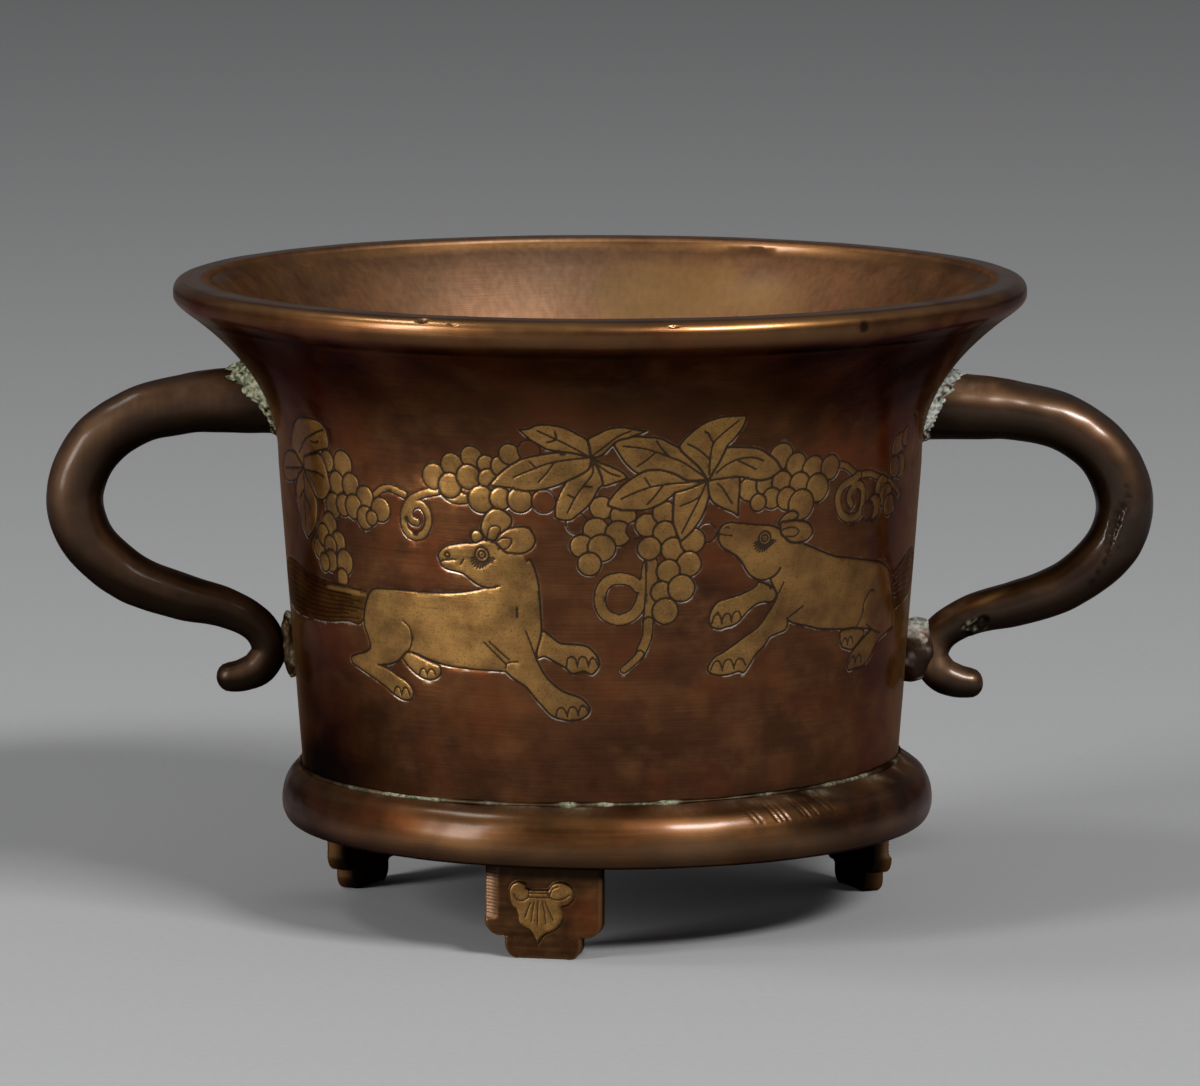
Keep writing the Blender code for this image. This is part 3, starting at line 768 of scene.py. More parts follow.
# %% bites of the chisel
# a chisel goes forward in short pushes, so a line is a row of small bites
BITE = 0.85
BITE_SHARE = 0.1
along, up = (np.sin(2 * math.pi / BITE * at) for at in (frieze.s, frieze.z))
bites = along[None, :] * up[:, None]
frieze.cut *= (1 - BITE_SHARE + BITE_SHARE * bites).astype(np.float32)
print("cut squares on the board:", int((frieze.cut > SHALLOWEST).sum()))

# %% [markdown]
# The bronze. On the real censer the copper alloy has a red-brown patina that is darker in
# some clouds and rubbed to a golden brown where hands touch it. Fine brush lines run round the
# wall. One recipe serves all bronze pieces. It starts with clouds of three browns and the brush
# lines. Then comes what is painted on a piece's points: rubbed places and painted highlights,
# haze and painted sheen, stains and painted reflections, soot and painted shade, gold, cut lines
# with painted glints, and green salts. Metal has its colour in its reflection, so Metallic is 1
# everywhere but on the salts. A thin coat of wax gives the handled places a sharper gleam, and
# it is gone where soot, painted shade, haze or painted sheen lies.

# %% colours, patterns and painted values
SOOT_AND_SHADE = (0.016, 0.0092, 0.0052)
RUBBED_AND_HIGHLIGHT = (0.36, 0.172, 0.053)
RED = (0.175, 0.045, 0.013)
GOLD = (0.42, 0.220, 0.060)
GOLD_DULL = (0.215, 0.112, 0.029)
STAIN_AND_REFLECTION = (0.32, 0.190, 0.060)
LINE_DARK = (0.034, 0.019, 0.010)
CUT_GLINT = (0.80, 0.70, 0.57)
HAZE_AND_SHEEN = (0.33, 0.195, 0.120)
GRAZING = (0.34, 0.215, 0.115, 1.0)
# the darkest and the palest tone of the salts
OLD_SALTS = ((0.065, 0.088, 0.055), (0.40, 0.40, 0.27))
PALE_SALTS = ((0.22, 0.25, 0.20), (0.70, 0.71, 0.65))
PATTERNS = {
    # name: (clouds per metre along x, y and z, detail, seed)
    "clouds": ((48.0, 48.0, 60.0), 4.0, 1.0),
    "mottle": ((210.0, 210.0, 260.0), 5.0, 2.0),
    "dust": ((4200.0, 4200.0, 4200.0), 2.0, 3.0),
    "flush": ((85.0, 85.0, 100.0), 3.0, 5.0),
    "salts": ((1500.0, 1500.0, 1500.0), 4.0, 6.0),
    "glint_patches": ((420.0, 420.0, 420.0), 2.0, 7.0),
    "scores": ((1300.0, 1300.0, 40.0), 1.0, 8.0),
    "thin": ((330.0, 330.0, 330.0), 4.0, 9.0),
}
PAINTED = ("rubbed_and_highlight", "haze_and_sheen", "stain_and_reflection", "soot_and_shade", "gilt", "cut", "glint", "green")
print("patterns:", len(PATTERNS), "painted values:", len(PAINTED))


# %% the brown metal and what lies on it
def patina(tree, grey, tones, redden, streak):
    """The metal's colour: clouds and brush lines, then rubbed places and painted highlights, haze and
    painted sheen, stains and painted reflections, soot and painted shade.
    """
    deep, middle, bright = tones
    mottle, haze_and_sheen = grey["mottle"], grey["haze_and_sheen"]
    colour = mix_colour(tree, spread(tree, grey["clouds"], 0.34, 0.62), deep, middle)
    colour = mix_colour(tree, spread(tree, mottle, 0.46, 0.78, 0.0, 0.75), colour, bright)
    colour = mix_colour(tree, spread(tree, mottle, 0.42, 0.26, 0.0, 0.7), colour, deep)
    stroke = spread(tree, grey["lines"], 0.3, 0.7, 1.0 - streak, 1.0 + streak)
    brushed = mix_colour(tree, 1.0, colour, stroke, "MULTIPLY")
    colour = mix_colour(tree, grey["unrubbed"], colour, brushed)
    colour = mix_colour(tree, spread(tree, grey["flush"], 0.5, 0.72, 0.0, redden), colour, RED)
    colour = mix_colour(tree, grey["rubbed_and_highlight"], colour, RUBBED_AND_HIGHLIGHT)
    # a pale haze, partly dry haze and partly painted sheen and reflection, scored by cleaning
    colour = mix_colour(tree, haze_and_sheen, colour, HAZE_AND_SHEEN)
    scores = spread(tree, grey["scores"], 0.3, 0.7, 0.88, 1.12)
    scored = mix_colour(tree, 1.0, colour, scores, "MULTIPLY")
    colour = mix_colour(tree, spread(tree, haze_and_sheen, 0.0, 0.2), colour, scored)
    colour = mix_colour(tree, grey["stain_and_reflection"], colour, STAIN_AND_REFLECTION)
    return mix_colour(tree, grey["soot_and_shade"], colour, SOOT_AND_SHADE)


# %% gold leaf and cut lines
def gilding(tree, grey, colour):
    """Gold leaf over a colour: dull where it is thin, and gone in specks and patches."""
    gold = mix_colour(tree, spread(tree, grey["mottle"], 0.3, 0.62), GOLD_DULL, GOLD)
    gold = mix_colour(tree, spread(tree, grey["lines"], 0.35, 0.75, 0.0, 0.35), gold, GOLD_DULL)
    kept = spread(tree, grey["dust"], 0.54, 0.70, 1.0, 0.35)
    thick = spread(tree, grey["thin"], 0.46, 0.70, 1.0, 0.48)
    share = arithmetic(tree, "MULTIPLY", kept, thick)
    share = arithmetic(tree, "MULTIPLY", grey["gilt"], share)
    return mix_colour(tree, share, colour, gold)


def chased_lines(tree, grey, colour):
    """Cut lines over a colour: dark dirt inside, and painted glints on the cuts beside the gold."""
    glint = spread(tree, grey["cut"], 0.05, 0.3)
    off_gold = spread(tree, grey["gilt"], 0.0, 0.2, 1.0, 0.0)
    for share in (spread(tree, grey["glint_patches"], 0.42, 0.58, 0.0, 0.7), off_gold, grey["glint"]):
        glint = arithmetic(tree, "MULTIPLY", glint, share)
    colour = mix_colour(tree, glint, colour, CUT_GLINT)
    on_gold = spread(tree, grey["gilt"], 0.0, 0.5, 0.0, 0.17)
    filled = arithmetic(tree, "ADD", grey["cut"], on_gold)
    return mix_colour(tree, spread(tree, filled, 0.30, 0.58, 0.0, 0.93), colour, LINE_DARK)


# %% gloss, fine relief and wax
BUMP_STRENGTH = 0.25
BUMP_HEIGHT = 0.00006


def gloss(tree, grey, shader, rough, wax):
    """Roughness, brush lines in relief, and the wax coat on the shader."""
    shine = spread(tree, grey["mottle"], 0.3, 0.7, rough - 0.04, rough + 0.06)
    # painted value, where it counts in full, and what it then adds to the roughness
    for name, full, change in (("rubbed_and_highlight", 1.0, -0.06), ("green", 1.0, 0.4), ("haze_and_sheen", 0.25, 0.2)):
        added = spread(tree, grey[name], 0.0, full, 0.0, change)
        shine = arithmetic(tree, "ADD", shine, added)
    tree.links.new(shine, shader.inputs["Roughness"])
    brushed = arithmetic(tree, "MULTIPLY", grey["lines"], grey["unrubbed"])
    relief = arithmetic(tree, "ADD", brushed, arithmetic(tree, "MULTIPLY", grey["dust"], 0.5))
    sockets = [("Strength", BUMP_STRENGTH), ("Distance", BUMP_HEIGHT), ("Height", relief)]
    bump = add_node(tree, "ShaderNodeBump", sockets)
    tree.links.new(bump.outputs[0], shader.inputs["Normal"])
    weight, coat_rough, unrubbed_share = wax
    coat = spread(tree, grey["rubbed_and_highlight"], 0.0, 0.4, weight * unrubbed_share, weight)
    coat = arithmetic(tree, "ADD", coat, spread(tree, grey["gilt"], 0.0, 1.0, 0.0, 0.14))
    for name, full in (("soot_and_shade", 0.8), ("haze_and_sheen", 0.25)):
        coat = arithmetic(tree, "MULTIPLY", coat, spread(tree, grey[name], 0.0, full, 1.0, 0.1))
    tree.links.new(coat, shader.inputs["Coat Weight"])
    shader.inputs["Coat Roughness"].default_value = coat_rough
    shader.inputs["Specular Tint"].default_value = GRAZING


# %% bronze recipe
def bronze_finish(name, tones, brush, rough, redden, wax, streak=0.16, salts=OLD_SALTS):
    """A patinated bronze.

    Tones go from deep to bright, and brush is the number of lines per metre along x, y and z.
    Wax is its weight on rubbed metal, its roughness, and the share of it on unrubbed metal.
    """
    look = bpy.data.materials.new(name)
    look.use_nodes = True
    tree = look.node_tree
    shader = tree.nodes["Principled BSDF"]
    place = add_node(tree, "ShaderNodeTexCoord").outputs["Object"]
    grey = {key: grain(tree, place, *pattern) for key, pattern in PATTERNS.items()}
    grey["lines"] = grain(tree, place, brush, 3.0, 4.0)
    for key in PAINTED:
        grey[key] = painted(tree, key)
    grey["unrubbed"] = spread(tree, grey["rubbed_and_highlight"], 0.1, 0.5, 1.0, 0.25)
    colour = patina(tree, grey, tones, redden, streak)
    colour = chased_lines(tree, grey, gilding(tree, grey, colour))
    salt_tone = mix_colour(tree, spread(tree, grey["salts"], 0.4, 0.6), *salts)
    colour = mix_colour(tree, grey["green"], colour, salt_tone)
    tree.links.new(colour, shader.inputs["Base Color"])
    metal = arithmetic(tree, "SUBTRACT", 1.0, grey["green"])
    tree.links.new(metal, shader.inputs["Metallic"])
    gloss(tree, grey, shader, rough, wax)
    return look


# %% the finishes
bronze_wall = bronze_finish(
    "bronze_wall",
    ((0.062, 0.021, 0.0078), (0.134, 0.048, 0.0160), (0.205, 0.084, 0.0280)),
    brush=(110.0, 110.0, 6500.0), rough=0.36, redden=0.8, wax=(0.60, 0.16, 0.34),
)
bronze_cast = bronze_finish(
    "bronze_cast",
    ((0.030, 0.0108, 0.0030), (0.072, 0.0270, 0.0068), (0.122, 0.0500, 0.0130)),
    brush=(45.0, 45.0, 1500.0), rough=0.44, redden=0.5, wax=(1.0, 0.20, 0.25), streak=0.34,
)
bronze_foot = bronze_finish(
    "bronze_foot",
    ((0.034, 0.013, 0.0048), (0.074, 0.029, 0.0095), (0.110, 0.052, 0.0170)),
    brush=(70.0, 70.0, 1500.0), rough=0.42, redden=0.6, wax=(0.25, 0.22, 0.4), streak=0.34,
)
bronze_rod = bronze_finish(
    "bronze_rod",
    ((0.026, 0.012, 0.0055), (0.056, 0.027, 0.0120), (0.092, 0.046, 0.0200)),
    brush=(160.0, 160.0, 160.0), rough=0.45, redden=0.1, wax=(0.95, 0.20, 0.8),
)
solder_crust = bronze_finish(
    "solder_crust",
    ((0.040, 0.024, 0.014), (0.075, 0.045, 0.024), (0.130, 0.080, 0.042)),
    brush=(700.0, 700.0, 700.0), rough=0.5, redden=0.0, wax=(0.0, 0.3, 0.4),
)
solder_pale = bronze_finish(
    "solder_pale",
    ((0.045, 0.026, 0.017), (0.085, 0.052, 0.034), (0.150, 0.100, 0.070)),
    brush=(700.0, 700.0, 700.0), rough=0.45, redden=0.0, wax=(0.3, 0.25, 0.4), salts=PALE_SALTS,
)
finishes = (bronze_wall, bronze_cast, bronze_foot, bronze_rod, solder_crust, solder_pale)
print("finishes:", [finish.name for finish in finishes])

# %% [markdown]
# Finishing a piece is the same each time. The shapes are made in millimetres in a bmesh, then
# turned into a mesh whose points are moved and painted as arrays, and at last scaled to
# metres and hung on the censer's one body. Round pieces are easier to think of by turn and
# distance from the axis, so two helpers change points to that and back. A ramp and a bell say
# where a painted value starts, ends or has its middle.

# %% unevenness and soft limits
def unevenness(points, size, seed):
    """A smooth random value from -1 to 1 at each point; its bumps are about size apart."""
    shift = Vector((seed * 17.3, seed * 5.1, seed * 9.7))
    return np.array([noise.noise(Vector(p) / size + shift) for p in points])


def waves(points, *layers):
    """The sum of layers of unevenness, each given as (height, size, seed)."""
    return sum(height * unevenness(points, size, seed) for height, size, seed in layers)


def ramp(values, low, high):
    """0 below low, 1 above high and a smooth rise between; low may be the greater."""
    t = share_of(values, low, high)
    return t * t * (3 - 2 * t)


def bell(values, middle, width):
    """1 at the middle, fading to both sides over the width."""
    return np.exp(-(((values - middle) / width) ** 2))


# %% from a bmesh to a finished piece
def make_mesh(bm, name):
    """The bmesh as a mesh, with its faces turned outwards, and its points as an array."""
    bmesh.ops.recalc_face_normals(bm, faces=bm.faces)
    mesh = bpy.data.meshes.new(name)
    bm.to_mesh(mesh)
    bm.free()
    points = np.empty(len(mesh.vertices) * 3)
    mesh.vertices.foreach_get("co", points)
    return mesh, points.reshape(-1, 3)


def hang(mesh, points, finish, nodes, paint=()):
    """The finished piece: its points in metres, its painted values, its finish and its node."""
    mesh.vertices.foreach_set("co", (points * MM).ravel())
    for name, values in dict(paint).items():
        layer = mesh.attributes.new(name, "FLOAT", "POINT")
        layer.data.foreach_set("value", np.clip(values, 0, 1).astype(np.float32))
    mesh.materials.append(finish)
    mesh.shade_smooth()
    mesh.update()
    piece = bpy.data.objects.new(mesh.name, mesh)
    bpy.context.scene.collection.objects.link(piece)
    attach(piece, "root")
    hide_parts(*nodes)
    print(mesh.name, "triangles:", sum(len(f.vertices) - 2 for f in mesh.polygons))


# %% round pieces
def around_axis(points):
    """Turn from the front, distance from the axis and height of points."""
    turn = np.arctan2(points[:, 0], -points[:, 1])
    return turn, np.hypot(points[:, 0], points[:, 1]), points[:, 2]


def placed(turn, radius, z):
    """Points at a turn from the front, a distance from the axis and a height."""
    return np.stack([radius * np.sin(turn), -radius * np.cos(turn), z], axis=1)


def spin_round(bm, geom, steps):
    """Spins a profile once round the axis and closes the seam."""
    bmesh.ops.spin(
        bm, geom=geom, cent=(0, 0, 0), axis=(0, 0, 1), angle=2 * math.pi, steps=steps,
        use_merge=True
    )


def turned(profile, steps, closed=True):
    """A bmesh spun from a profile of (radius, height); a closed profile makes a ring."""
    bm = bmesh.new()
    line = [bm.verts.new((r, 0.0, z)) for r, z in profile]
    ends = line[1:] + line[:1] if closed else line[1:]
    spin_round(bm, line + [bm.edges.new(pair) for pair in zip(line, ends)], steps)
    return bm


# %% finer faces near lines
def divide(bm, faces):
    """Cuts faces into four, and fits their neighbours to the new points."""
    edges = list({e for f in faces for e in f.edges})
    bmesh.ops.subdivide_edges(bm, edges=edges, cuts=1, use_grid_fill=True, use_single_edge=True)


def divide_near_lines(bm, board, place, reach, depth=SHALLOWEST):
    """Cuts the faces near a board's lines; place gives s, z and whether a face may be cut."""
    faces = list(bm.faces)
    s, z, allowed = place(np.array([f.calc_center_median() for f in faces]))
    near = board.read(board.close_to_cuts(reach, depth).astype(np.float32), s, z) > 0
    divide(bm, [face for face, chosen in zip(faces, near & allowed) if chosen])


# %% [markdown]
# The vessel wall. It is turned: one profile goes up the outside, over the lip and down the
# inside, and a spin closes it to a ring. The grid of about a millimetre is too coarse for
# chisel lines, and a fine grid all over would be too heavy. So only the faces near a line are
# divided, three times on the front and twice on the back, where the frieze is guessed to
# repeat. Then each point moves out or in by what its place on the board says, and the dirt and
# wear, with painted shade, highlights, sheen and reflections, are laid on by height, by side and
# by a cloudy unevenness.

# %% profile of the wall
def arc(centre, radius, start, end, steps):
    """Points on a circle from one angle to another, in degrees."""
    turns = np.radians(np.linspace(start, end, steps + 1))
    return [(centre[0] + radius * math.cos(t), centre[1] + radius * math.sin(t)) for t in turns]


def bezier(a, b, c, d, steps):
    """Points on a cubic curve from a to d, pulled towards b and c."""
    t = np.linspace(0, 1, steps + 1)[:, None]
    a, b, c, d = (np.array(p, float) for p in (a, b, c, d))
    return [
        tuple(p)
        for p in a * (1 - t) ** 3 + 3 * b * t * (1 - t) ** 2 + 3 * c * t**2 * (1 - t) + d * t**3
    ]


LIP_INNER_ROUND = 0.6
LIP_FACE_LOW = 78.0
LIP_FACE_HIGH = 79.0
ROLL_START = 76.2
ROLL_LEAD = 0.9
SEAT_GAP = 0.1
ROW = 1.2
SLOPE_STEP = 0.1

heights = [BASE_HEIGHT + SEAT_GAP, 17.0, 19.0, COLLAR_TOP, 22.0, 23.6, 25.2]
heights += list(np.arange(26.4, 71.0, ROW)) + list(np.linspace(72.0, ROLL_START - ROW / 2, 6))
profile = [(float(wall_radius(z)), z) for z in heights]
roll = float(wall_radius(ROLL_START))
lead = ROLL_LEAD * (roll - float(wall_radius(ROLL_START - SLOPE_STEP))) / SLOPE_STEP
profile += bezier(
    (roll, ROLL_START), (roll + lead, ROLL_START + ROLL_LEAD),
    (LIP_RADIUS, LIP_FACE_LOW), (LIP_RADIUS, LIP_FACE_HIGH), 10
)
profile += arc((LIP_RADIUS - LIP_TOP_ROUND, HEIGHT - LIP_TOP_ROUND), LIP_TOP_ROUND, 0, 90, 8)
profile += [(51.6, HEIGHT), (50.7, HEIGHT)]
profile += arc((LIP_EDGE + LIP_INNER_ROUND, HEIGHT - LIP_INNER_ROUND), LIP_INNER_ROUND, 90, 180, 4)
inside_heights = list(np.linspace(79.2, FLARE_FOOT, 12)) + [50.0, 42.0, 34.0, 27.0, COLLAR_TOP]
profile += [(float(bowl_radius(z)), z) for z in inside_heights]
profile += [(BASE_RADIUS - WALL, BASE_HEIGHT + SEAT_GAP)]
print("profile points:", len(profile))

# %% spin and divide near the lines
TURN_STEPS = 200
# small marks on the lip and in the bowl: place and size
SPOTS = {
    "lip_spot": ((32.0, -43.5, 79.3), 1.1),
    "nick": ((-21.4, -49.0, 80.7), 0.55),
    "bowl_spot": ((20.4, 43.6, 78.4), 0.9),
    "small_nick": ((-17.6, -50.6, 80.3), 0.35),
    "far_nick": ((9.0, -53.0, 80.4), 0.3),
}
SPOT_REACHES = (1.8, 1.0)
# least depth of the lines, reach about them, and how many degrees round from the front
DIVISIONS = ((0.02, 0.55, 181), (0.08, 0.16, 181), (0.29, 0.07, 80))


def on_board(points):
    """Place on the board of points of the wall, then their turn and distance from the axis."""
    turn, radius, z = around_axis(points)
    along = (PER_TURN * turn + HALF_PERIOD) % (2 * HALF_PERIOD) - HALF_PERIOD
    return along, z, turn, radius


def frieze_place(centres, widest):
    """Place on the board, and whether a face is on the frieze and near enough to the front."""
    s, z, turn, radius = on_board(centres)
    allowed = (radius > wall_radius(z) - 1.0) & (z > FRIEZE_LOW) & (z < FRIEZE_HIGH)
    return s, z, allowed & (np.abs(turn) < math.radians(widest))


wall = turned(profile, TURN_STEPS)
for spot, size in SPOTS.values():
    for reach in SPOT_REACHES:
        limit = reach + size
        divide(wall, [f for f in wall.faces if (f.calc_center_median() - Vector(spot)).length < limit])
for depth, reach, widest in DIVISIONS:
    divide_near_lines(wall, frieze, lambda centres: frieze_place(centres, widest), reach, depth)
wall_mesh, wall_points = make_mesh(wall, "vessel_wall")
print("wall faces:", len(wall_mesh.polygons))

# %% chase the frieze into the wall
CUT_DEPTH = 0.12
NICK_DEPTH = 0.2
s, z, turn, radius = on_board(wall_points)
outside = (radius > wall_radius(np.minimum(z, ROLL_START)) - 1.2) & (z < ROLL_START + 0.01)
framed = outside & (z > FRIEZE_LOW) & (z < FRIEZE_HIGH)


def drawn(field):
    """A field of the board at the points of the wall, and 0 off the frieze."""
    return np.where(framed, frieze.read(field, s, z), 0)


cut, gilt = drawn(frieze.cut), drawn(frieze.gilt)
lift = drawn(frieze.raised) - CUT_DEPTH * cut
true_radius = np.where(outside, wall_radius(np.clip(z, BASE_HEIGHT, ROLL_START)), radius)
slope = (wall_radius(z + SLOPE_STEP) - wall_radius(z - SLOPE_STEP)) / (2 * SLOPE_STEP)
lean = np.hypot(1, slope)
hammered = waves(wall_points, (0.05, 14.0, 1), (0.03, 5.0, 2))
bruise = {
    name: ramp(np.linalg.norm(wall_points - np.array(spot), axis=1), size, size * 0.4)
    for name, (spot, size) in SPOTS.items()
}
for name in ("nick", "small_nick", "far_nick"):
    hammered = hammered - NICK_DEPTH * bruise[name]
new_radius = true_radius + np.where(outside, lift / lean, 0) + hammered
new_z = z - np.where(outside, lift * slope / lean, 0) + np.where(z > LIP_FACE_LOW, hammered, 0)
wall_points = placed(turn, new_radius, new_z)
print("deepest cut, mm:", round(float(-lift.min()), 3))

# %% painted glints on the cuts and painted shade on the gold
# painted glints: a cut is painted bright on the side that faces up, below a figure
GLINT_LEAST = 0.12
upward = frieze.read(frieze.cut, s, z + SQUARE) - frieze.read(frieze.cut, s, z - SQUARE)
glint = np.where(framed, GLINT_LEAST + (1 - GLINT_LEAST) * ramp(upward, 0.0, 0.3), 0)
# painted shade: the gold is thinned towards both sides, and more on the right
gilt = gilt * (1 - 0.3 * ramp(np.abs(s), 34.0, 46.0)) * (1 - 0.4 * ramp(s, 14.0, 40.0))
print("gilt points:", int((gilt > 0.5).sum()))

# %% soot and painted shade on the wall
lip = ~outside & (radius > bowl_radius(np.minimum(z, HEIGHT)) + 0.6) & (z > ROLL_START - 0.1)
bowl = ~outside & ~lip
lip_face = lip & (radius > 51.0) & (z < LIP_FACE_HIGH)
cloud = unevenness(wall_points, 9.0, 3)
# painted shade under the lip, a little more on the right, and fading on the face of the lip
shade_under_lip = (0.66 + 0.1 * ramp(turn, 0.1, 0.6)) * ramp(z, 60.0, 72.0) * (1 - ramp(z, 75.4, 78.4))
# painted shade low on the left and along the left side, fading towards the back
shade_on_left = 0.5 * ramp(s, -6.0, -20.0) * ramp(z, 40.0, 27.0) + 0.32 * ramp(s, -28.0, -50.0)
shade_on_left = shade_on_left * ramp(np.abs(turn), math.pi / 2, 1.3) * ramp(z, 62.0, 50.0)
# painted shade just above the base ring
shade_over_ring = 0.3 * ramp(z, 25.0, 20.0)
soot_and_shade = np.where(outside | lip_face, shade_under_lip + shade_on_left + shade_over_ring, 0) * (0.95 + 0.35 * cloud)
soot_and_shade = soot_and_shade + np.where(bowl, 0.12 + 0.2 * cloud, 0)
# darker on the face of the lip below its top edge
soot_and_shade = soot_and_shade + np.where(lip & (radius > 50.5), (0.3 + 0.3 * cloud) * ramp(z, 80.4, 79.6), 0)
soot_and_shade = np.maximum(soot_and_shade, drawn(frieze.worn))
soot_and_shade = np.maximum(soot_and_shade, 0.9 * (bruise["lip_spot"] + bruise["bowl_spot"]) + 0.5 * bruise["nick"])
print("mean soot on the wall:", round(float(soot_and_shade.mean()), 3))

# %% rubbed lip, painted highlight, stains, haze, painted sheen and painted reflection on the wall
# the stain high on the back of the bowl: place and half size, across and up
STAIN_PLACE = (11.0, 74.5)
STAIN_SIZE = (16.0, 4.2)
# painted sheen in the bowl, a pale upright stripe: its middle and its width
SHEEN_PLACE = -10.0
SHEEN_WIDTH = 17.0
x, y = wall_points[:, 0], wall_points[:, 1]
# the lip: rubbed on its top edge, with a painted highlight on the front middle
lip_wear_and_highlight = 0.16 + 0.6 * ramp(z, 79.7, 80.6) + 0.1 * ramp(np.abs(s), 40.0, 12.0) + 0.4 * cloud
rubbed_and_highlight = np.where(lip, lip_wear_and_highlight * ramp(z, 76.4, 78.6), 0) + np.where(bowl, 0.18 + 0.2 * cloud, 0)
# the flat top of the lip: rubbed, and painted paler as a painted reflection
rubbed_and_highlight = np.where(lip & (z > HEIGHT - 0.25), 0.42 + 0.25 * cloud, rubbed_and_highlight)
away = np.hypot((x - STAIN_PLACE[0]) / STAIN_SIZE[0], (z - STAIN_PLACE[1]) / STAIN_SIZE[1])
patch = ramp(1 - away + 0.35 * unevenness(wall_points, 4.0, 4), 0.0, 0.3)
stain_and_reflection = np.where(bowl & (y > 0), 0.36 * patch, 0)
sheen_patch = bell(x, SHEEN_PLACE, SHEEN_WIDTH) * ramp(z, 66.0, 76.0)
haze_and_sheen = np.where(bowl, 0.25 + (0.40 + 0.25 * cloud) * sheen_patch, 0)
# painted reflection towards the sides: the wall is painted paler and more olive where it turns away
stain_and_reflection = stain_and_reflection + np.where(outside, 0.32 * ramp(np.abs(s), 40.0, 54.0), 0)
haze_and_sheen = haze_and_sheen + np.where(outside, 0.15 * ramp(np.abs(s), 44.0, 57.0), 0)
hang(
    wall_mesh, wall_points, bronze_wall, ["vessel_body"],
    {"cut": cut, "gilt": gilt, "glint": glint, "soot_and_shade": soot_and_shade, "rubbed_and_highlight": rubbed_and_highlight, "stain_and_reflection": stain_and_reflection,
     "haze_and_sheen": haze_and_sheen},
)

# %% [markdown]
# The base ring. It is a moulding that was turned on its own and soldered round the foot, a
# little off the axis, so it stands out further on the right. Its section is a sloping top, a
# round belly and a flat underside. A spin makes it. Near the right front a file has left a row
# of slanting strokes, which are cut like the lines of the frieze.

# %% section of the base ring
RING_SHIFT = 0.9
RING_BORE = 36.9
RING_SLOPE = 0.65
RING_SHOULDER = (39.7, 18.6)
RING_BELLY = (41.4, 14.3)
RING_UNDERSIDE = (40.1, 11.9)


def ring_top(radius):
    """Height of the ring's sloping top at a distance from the ring's own axis."""
    return RING_SHOULDER[1] + (RING_SHOULDER[0] - radius) * RING_SLOPE


bulge = RING_BELLY[0] - RING_SHOULDER[0]
drop = RING_SHOULDER[1] - RING_BELLY[1]
section = [(r, ring_top(r)) for r in (RING_BORE, 37.6, 38.3, 39.0)]
section += bezier(
    RING_SHOULDER,
    (RING_SHOULDER[0] + bulge / 2, RING_SHOULDER[1] - bulge / 2 * RING_SLOPE),
    (RING_BELLY[0], RING_BELLY[1] + drop / 2),
    RING_BELLY,
    10,
)
section += bezier(
    RING_BELLY,
    (RING_BELLY[0], RING_BELLY[1] - 1.2),
    (RING_UNDERSIDE[0] + 0.65, RING_UNDERSIDE[1]),
    RING_UNDERSIDE,
    8,
)[1:]
section += [(38.6, BASE_HEIGHT), (RING_BORE, BASE_HEIGHT + 0.4)]
print("ring section points:", len(section))

# %% file strokes on the ring, then spin and divide
RING_STEPS = 300
RING_TURN = 40.0
RING_SHOWN = 38.0
FILE_SPAN = (16.0, 34.0)
FILE_WIDTH = 0.3
# place along the ring, height of the upper end, depth
FILE_STROKES = [
    (17.7, 18.5, 0.4), (18.6, 18.4, 0.5), (20.7, 18.8, 1.0), (21.4, 18.9, 1.0), (22.2, 18.8, 0.9),
    (24.6, 19.1, 0.9), (25.3, 19.0, 1.0), (26.0, 19.1, 0.8), (26.7, 19.0, 0.9), (28.4, 19.1, 0.5),
    (29.5, 19.0, 0.4),
]
file_marks = Drawing(*FILE_SPAN, 15.0, 20.5, 0.05)
for s, top, depth in FILE_STROKES:
    file_marks.engrave([[(s, top), (s + 1.0, top - 1.0 - 0.7 * depth)]], FILE_WIDTH, depth)


def ring_place(centres):
    """Place along the ring and height, and whether a face is where the file went."""
    turn, radius, z = around_axis(centres)
    s = RING_TURN * turn
    return s, z, (s > FILE_SPAN[0]) & (s < FILE_SPAN[1]) & (radius > RING_SHOWN)


base = turned(section, RING_STEPS)
for reach in (0.6, 0.35):
    divide_near_lines(base, file_marks, ring_place, reach)
ring_mesh, p = make_mesh(base, "base_moulding")
print("ring faces:", len(ring_mesh.polygons))

# %% dents, file strokes, wear, painted shade, painted sheen and painted highlight of the ring
s, z, filed = ring_place(p)
turn, radius, z = around_axis(p)
cut = np.where(filed, file_marks.read(file_marks.cut, s, z), 0)
dents = waves(p, (0.10, 11.0, 11), (0.05, 3.5, 12))
shown = ramp(radius, 37.6, 38.6)
radius = radius + shown * (dents - 0.10 * cut)
p = placed(turn, radius, z + shown * (0.6 * dents - 0.08 * cut)) + (RING_SHIFT, 0.0, 0.0)
z = p[:, 2]
cloud = unevenness(p, 7.0, 13)
in_corner = ramp(z, 17.0, 18.0)
residue = ramp(radius, 39.3, 38.4) * in_corner * (0.02 + 0.45 * unevenness(p, 2.2, 14))
# painted sheen on the sloping top beside the seam
sheen_patch = ramp(radius, 40.3, 39.2) * in_corner * (0.16 + 0.25 * cloud)
# painted shade: dark underneath, at the left, and on the top left of the middle
soot_and_shade = 0.8 * ramp(z, 12.4, 11.9) + 0.48 * ramp(z, 14.8, 12.6) + 0.22 * ramp(turn, -0.45, -1.0)
soot_and_shade = soot_and_shade + 0.28 * ramp(radius, 40.6, 39.4) * ramp(turn, 0.3, 0.0)
